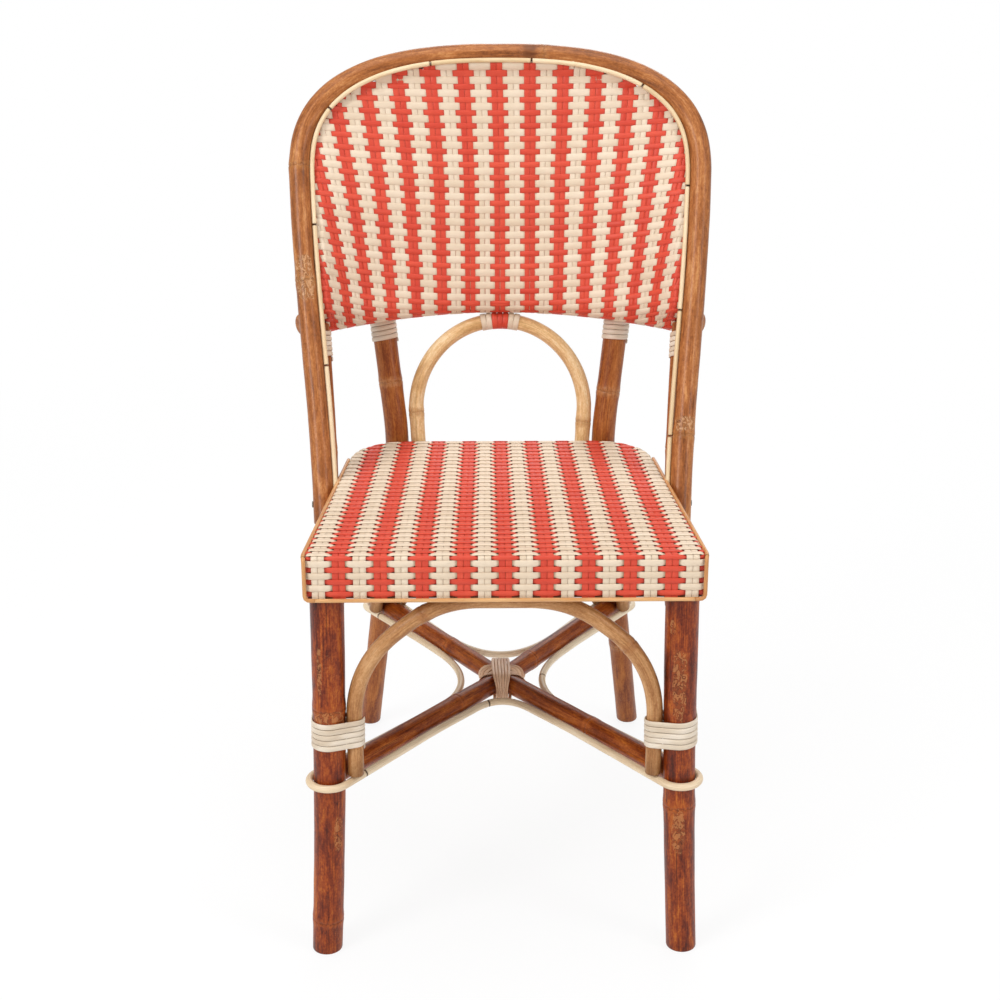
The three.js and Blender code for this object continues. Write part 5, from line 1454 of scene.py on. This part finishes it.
# Back panel: its surface in hoop heights and lengths across
PANEL_EDGE_SETBACK = FRAME_SETBACK - FRAME_RADIUS - CLEARANCE - PANEL_PLAY - PANEL_THICKNESS / 2
PANEL_REST_DEPTH = RAIL_DEPTH - RAIL_RADIUS - PANEL_PLAY - PANEL_THICKNESS / 2
PANEL_MIDDLE_SETBACK = (PANEL_REST_DEPTH - float(plane_point(0, RAIL_HEIGHT)[1])) * math.cos(HOOP_LEAN)
PANEL_REST_HEIGHT = RAIL_HEIGHT + PANEL_MIDDLE_SETBACK * math.sin(HOOP_LEAN)
FRAME_INNER_INSET = FRAME_INSET + FRAME_RADIUS + PANEL_PLAY
FRAME_INNER_TOP = HOOP_CROWN - FRAME_INNER_INSET
PANEL_EDGE_REACH = HOOP_RADIUS + PANEL_EDGE_PLAY
WRAP_RADIUS = RAIL_RADIUS + RAIL_WRAP_PLAY
BACK_HIGH = HOOP_CROWN - PANEL_EDGE_REACH * math.cos(PANEL_CROWN_TURN)


def hoop_place(across, height):
    """How far a point of the hoop's plane lies inside the hoop's line, and how high up the crown that is."""
    up = np.maximum(height - HOOP_WIDEST, 0)
    crown = HOOP_CROWN - HOOP_WIDEST
    rho = (np.abs(across / HOOP_WIDEST_X) ** HOOP_CROWN_POWER + (up / crown) ** HOOP_CROWN_POWER)
    rho = np.maximum(rho, 1e-6) ** (1 / HOOP_CROWN_POWER)
    crown_inset = (1 - rho) * np.hypot(across, up) / rho
    side_inset = hoop_half(0, np.minimum(height, HOOP_WIDEST)) - np.abs(across)
    return np.where(height > HOOP_WIDEST, crown_inset, side_inset), np.clip(up / rho / crown, 0, 1)


def edge_turn(up):
    """Where the panel's edge lies round the hoop: behind its inner side, and before it at the crown."""
    side_turn = -math.asin(PANEL_EDGE_SETBACK / PANEL_EDGE_REACH)
    return side_turn + (PANEL_CROWN_TURN - side_turn) * up ** 2


def panel_setback(across, height):
    left = np.clip((FRAME_INNER_TOP - height) / (FRAME_INNER_TOP - PANEL_REST_HEIGHT), 0, 1)
    inside = np.maximum(hoop_half(FRAME_INNER_INSET, height), PANEL_PLAY)
    out = np.minimum(np.abs(across) / inside, 1)
    bow = (RAIL_DEPTH - RAIL_END_DEPTH) * math.cos(HOOP_LEAN) * (inside / RAIL_REACH) ** 2
    bow_share = bow / (PANEL_MIDDLE_SETBACK - PANEL_EDGE_SETBACK)
    power = 2 + (PANEL_CORNER_POWER - 2) * left ** 2
    fall = bow_share * out ** 2 + (1 - bow_share) * out ** power
    setback = PANEL_EDGE_SETBACK + (PANEL_MIDDLE_SETBACK - PANEL_EDGE_SETBACK) * left * (1 - fall)
    inset, up = hoop_place(across, height)
    turn = edge_turn(up)
    near = np.clip((FRAME_INNER_INSET - inset) / (FRAME_INNER_INSET - PANEL_EDGE_REACH * np.cos(turn)), 0, 1)
    forward = PANEL_EDGE_REACH * np.sin(turn) + PANEL_EDGE_SETBACK
    return setback - forward * near * near * (3 - 2 * near)


def panel_sheet(across, height):
    return plane_point(across, height, panel_setback(across, height))


ACROSS_GRID = np.linspace(-GRID_REACH, GRID_REACH, GRID_COLUMNS)
HEIGHT_GRID = np.arange(GRID_LOW, GRID_HIGH + 1.0, GRID_STEP)


def arc_table():
    """Length along the panel from its middle, for each height and place across."""
    across, heights = np.meshgrid(ACROSS_GRID, HEIGHT_GRID)
    sheet = panel_sheet(across, heights)
    steps = np.linalg.norm(np.diff(sheet, axis=1), axis=2)
    lengths = np.concatenate([np.zeros((len(HEIGHT_GRID), 1)), np.cumsum(steps, axis=1)], axis=1)
    return lengths - lengths[:, [len(ACROSS_GRID) // 2]]


ARC_TABLE = arc_table()


def across_at(length, height):
    """Place across at a length along the panel from its middle."""
    flat_length, flat_height = np.ravel(length), np.ravel(height)
    rows = np.clip((flat_height - GRID_LOW) / GRID_STEP, 0, len(HEIGHT_GRID) - 1.001)
    low = rows.astype(int)
    result = np.zeros_like(flat_length)
    for row in np.unique(low):
        at = np.flatnonzero(low == row)
        share = rows[at] - row
        here = np.interp(flat_length[at], ARC_TABLE[row], ACROSS_GRID)
        there = np.interp(flat_length[at], ARC_TABLE[row + 1], ACROSS_GRID)
        result[at] = here * (1 - share) + there * share
    return result.reshape(np.shape(length))


def panel_foot_height(across):
    """The hoop height at which the panel comes down to the rail's own height."""
    heights = np.arange(FOOT_LOW, FOOT_HIGH, 1.0)
    across = np.asarray(across, float)
    levels = panel_sheet(across[..., None], heights)[..., 2] - rail_point(across)[..., None, 2]
    below = np.argmax(levels > 0, axis=-1)
    return heights[np.clip(below, 1, len(heights) - 1)]


FOOT_ACROSS = np.linspace(-FOOT_REACH, FOOT_REACH, FOOT_COLUMNS)
FOOT_HEIGHTS = panel_foot_height(FOOT_ACROSS)


def back_place(length, down):
    """A point of the woven back: down is a hoop height, and below the panel's foot the way round the rail."""
    across = across_at(length, np.maximum(down, BACK_LOW))
    foot = np.interp(across, FOOT_ACROSS, FOOT_HEIGHTS)
    across = across_at(length, np.maximum(down, foot))
    foot = np.interp(across, FOOT_ACROSS, FOOT_HEIGHTS)
    sheet = panel_sheet(across, np.maximum(down, foot))
    rail = rail_point(across)
    low = np.clip((foot + BACK_TUCK - down) / BACK_TUCK, 0, 1)
    slant = 1 / unit(rail_point(across + 1) - rail_point(across - 1))[..., 0]
    sheet[..., 1] += (rail[..., 1] - WRAP_RADIUS * slant - sheet[..., 1]) * low ** 2
    rise = np.abs(sheet[..., 2] - rail[..., 2])
    before = rail[..., 1] - slant * np.sqrt(np.maximum(WRAP_RADIUS ** 2 - rise ** 2, 0))
    sheet[..., 1] = np.where(rise < WRAP_RADIUS, np.minimum(sheet[..., 1], before), sheet[..., 1])
    turn = np.maximum(foot - down, 0) / WRAP_RADIUS
    wrapped = rail + WRAP_RADIUS * np.stack([0 * turn, -slant * np.cos(turn), -np.sin(turn)], axis=-1)
    return np.where((turn > 0)[..., None], wrapped, sheet)


def back_surface(u, v):
    step = 0.5
    place = back_place(u, v)
    across = back_place(u + step, v) - back_place(u - step, v)
    up = back_place(u, v + step) - back_place(u, v - step)
    return place, unit(np.cross(across, up))


def back_share(height):
    return np.clip((height - BACK_LOW) / (BACK_HIGH - BACK_LOW), 0, 1)


def pair_step_at(height):
    return BACK_PAIR_LOW + BACK_PAIR_GAIN * back_share(height) ** BACK_PAIR_POWER


def stripe_place(pairs, height):
    """Length across the panel at which a number of pairs from its middle lies: the stripes are wider in the
    middle of its lower half, and lean a little to the left at its top."""
    share = back_share(height)
    middle = BACK_MIDDLE_GAIN * np.maximum(1 - share / BACK_MIDDLE_SHARE, 0)
    gain = 1 + middle * bell(pairs, BACK_MIDDLE_PAIRS)
    return pairs * pair_step_at(height) * gain - BACK_DRIFT * share ** 4


def back_rows():
    """Heights of the wefts, from the crown down to the last one round the rail."""
    count = int((BACK_HIGH - BACK_LOW) / BACK_ROW_STEP) + BACK_WRAP_ROWS
    return BACK_HIGH - BACK_FIRST_ROW - BACK_ROW_STEP * np.arange(count)


def edge_length(height):
    """Length along the panel from its middle to its edge at a height."""
    height = max(height, BACK_LOW)
    inset, up = hoop_place(ACROSS_GRID, np.full_like(ACROSS_GRID, height))
    inside = ACROSS_GRID[inset >= PANEL_EDGE_REACH * np.cos(edge_turn(up))]
    if len(inside) == 0:
        return 0.0
    row = int(np.clip((height - GRID_LOW) / GRID_STEP, 0, len(HEIGHT_GRID) - 1))
    return float(np.interp(inside[-1], ACROSS_GRID, ARC_TABLE[row]))


def make_back_wefts():
    strands = both_colours()
    for j, height in enumerate(back_rows()):
        kind, sign = WEFT_COLOURS[j % 2]
        reach = edge_length(height)
        if reach < BACK_SHORTEST_REACH:
            continue
        pairs = np.arange(-BACK_WEFT_PAIRS, BACK_WEFT_PAIRS + WEFT_END, WEFT_SAMPLE)
        u = stripe_place(pairs, height)
        inside = np.abs(u) < reach
        u, over = u[inside], over_share(pairs[inside], sign)
        width = BACK_WEFT_WIDTH[kind] + BACK_WEFT_PINCH * over
        strands[kind].add(back_surface, u, np.full_like(u, height), BACK_LIFT * over, width, False)
    make_both(strands, "back_weft", ("back_weave",))


def make_back_warps():
    strands = both_colours()
    rows = back_rows()
    heights = np.arange(rows[-1], BACK_HIGH, BACK_ROW_STEP / 3)
    reach = np.array([edge_length(height) for height in heights])
    widths = BACK_WARP_SHARE * pair_step_at(heights) - BACK_WARP_GAP
    for k in BACK_WARP_PAIRS:
        kind, sign = WARP_COLOURS[k % 2]
        for half in (-1, 1):
            u = stripe_place(k + half * BACK_WARP_PLACE, heights)
            run = longest_run(np.abs(u) < reach - 1)
            if run.stop - run.start < BACK_SHORTEST_RUN:
                continue
            lift = BACK_WARP_LIFT * sign * np.cos(math.pi * (rows[0] - heights[run]) / BACK_ROW_STEP)
            strands[kind].add(back_surface, u[run], heights[run], lift, widths[run], True)
    make_both(strands, "back_warp", ("back_weave",))


def make_arch_tab():
    """Strands wrapped side by side round the top of the arch: red in the middle, cream on both sides."""
    path = evenly(back_arch_path(), 1)
    step = TAB_WIDTH / TAB_STRANDS
    reach = BACK_ARCH_RADIUS + TAB_RISE
    strands = both_colours()
    for i in range(TAB_STRANDS):
        place = lengths_along(path)[-1] / 2 + (i - TAB_STRANDS // 2) * step
        before, centre, after = points_at(path, np.array([place - 1, place, place + 1]))
        along = unit(after - before)
        side = unit(np.cross(along, [0, 1, 0]))
        back = np.cross(side, along)

        def surface(u, v, centre=centre, along=along, side=side, back=back):
            turn = (v / reach)[..., None]
            out = side * np.cos(turn) + back * np.sin(turn)
            return centre + along * u[..., None] + out * reach, out

        v = np.linspace(0, WHOLE_TURN * reach, 49)
        none = np.zeros_like(v)
        kind = "red" if i in TAB_RED_STRANDS else "cream"
        strands[kind].add(surface, none, v, none, none + step - TAB_STRAND_GAP, True, TAB_STRAND_THICKNESS)
    make_both(strands, "tab_strand", ("back_arch_tab",))


# Pieces carried over from the solids
def dress_solids():
    for name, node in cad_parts.items():
        if node.hide_render:
            continue
        kind = "steel" if "screw" in name else "wood"
        node.data.materials.clear()
        node.data.materials.append(MATERIALS[kind])


# Stage
def floor_material():
    """Glows white where it is seen, directly or mirrored, and a little less near the chair, so that a soft
    shadow shows there."""
    material = bpy.data.materials.new("floor_white")
    nodes = Nodes(material)
    place = nodes.add("ShaderNodeTexCoord", {}, "Object")
    away = nodes.add("ShaderNodeVectorMath", {0: place}, "Value", operation="LENGTH")
    (near, far), (low, high) = FLOOR_GLOW_DISTANCES, FLOOR_GLOW
    inputs = {"Value": away, "From Min": near, "From Max": far, "To Min": low, "To Max": high}
    whiter = nodes.add("ShaderNodeMapRange", inputs)
    seen = nodes.seen("Is Camera Ray", "Is Glossy Ray", "Is Transmission Ray")
    plain = nodes.add("ShaderNodeBsdfDiffuse", {"Color": (0.9, 0.9, 0.9, 1)})
    glow = nodes.add("ShaderNodeEmission", {"Strength": 1.0})
    share = nodes.sums("MULTIPLY", seen, whiter)
    nodes.end("ShaderNodeOutputMaterial", nodes.add("ShaderNodeMixShader", {0: share, 1: plain, 2: glow}))
    return material


def make_floor():
    """A wide pale floor, as a piece of the stage."""
    mesh = bpy.data.meshes.new("floor")
    corners = [(x * FLOOR_REACH, y * FLOOR_REACH, 0) for x, y in ((-1, -1), (1, -1), (1, 1), (-1, 1))]
    mesh.from_pydata(corners, [], [(0, 1, 2, 3)])
    floor = bpy.data.objects.new("floor", mesh)
    bpy.context.scene.collection.objects.link(floor)
    mesh.materials.append(floor_material())


def make_world():
    world = bpy.data.worlds.new("studio")
    bpy.context.scene.world = world
    nodes = Nodes(world)
    soft, white = (nodes.add("ShaderNodeBackground", {"Color": (1, 1, 1, 1), "Strength": strength})
                   for strength in (WORLD_STRENGTH, 1.0))
    seen = nodes.seen("Is Camera Ray", "Is Transmission Ray")
    nodes.end("ShaderNodeOutputWorld", nodes.add("ShaderNodeMixShader", {0: seen, 1: soft, 2: white}))


def make_lamps():
    for name, (place, size, power) in LAMPS.items():
        data = bpy.data.lights.new(name, "AREA")
        data.shape = "RECTANGLE"
        data.size, data.size_y = size
        data.energy = power
        lamp = bpy.data.objects.new(name, data)
        bpy.context.scene.collection.objects.link(lamp)
        lamp.location = place
        x, y, z = unit(np.subtract(LAMP_TARGET, place))
        lamp.rotation_euler = (math.acos(-z), 0, math.atan2(-x, y))


def make_camera():
    data = bpy.data.cameras.new("camera")
    data.sensor_width = SENSOR_WIDTH
    data.lens = CAMERA_FOCUS / IMAGE_SIZE * SENSOR_WIDTH
    data.clip_start, data.clip_end = 0.05, 100
    camera = bpy.data.objects.new("camera", data)
    bpy.context.scene.collection.objects.link(camera)
    x, y, z = CAMERA_PLACE
    camera.location = (x * MM, y * MM + FRONT_FACE, z * MM)
    camera.rotation_euler = (math.radians(90 - CAMERA_PITCH), 0, math.radians(-CAMERA_HEADING))
    bpy.context.scene.camera = camera


make_front_legs()
make_rear_legs()
make_hoop()
make_posts()
make_lower_rail()
make_back_arch()
make_front_arch()
make_side_arches()
make_rear_arch()
make_braces()
make_beads()
make_rods()
make_piping()
make_leg_bindings()
make_top_bindings()
make_lashing()
make_seat_wefts()
make_seat_warps()
make_seat_shade_sheet()
make_back_wefts()
make_back_warps()
make_arch_tab()
dress_solids()
make_floor()
make_world()
make_lamps()
make_camera()
bpy.context.scene.view_settings.view_transform = "Standard"
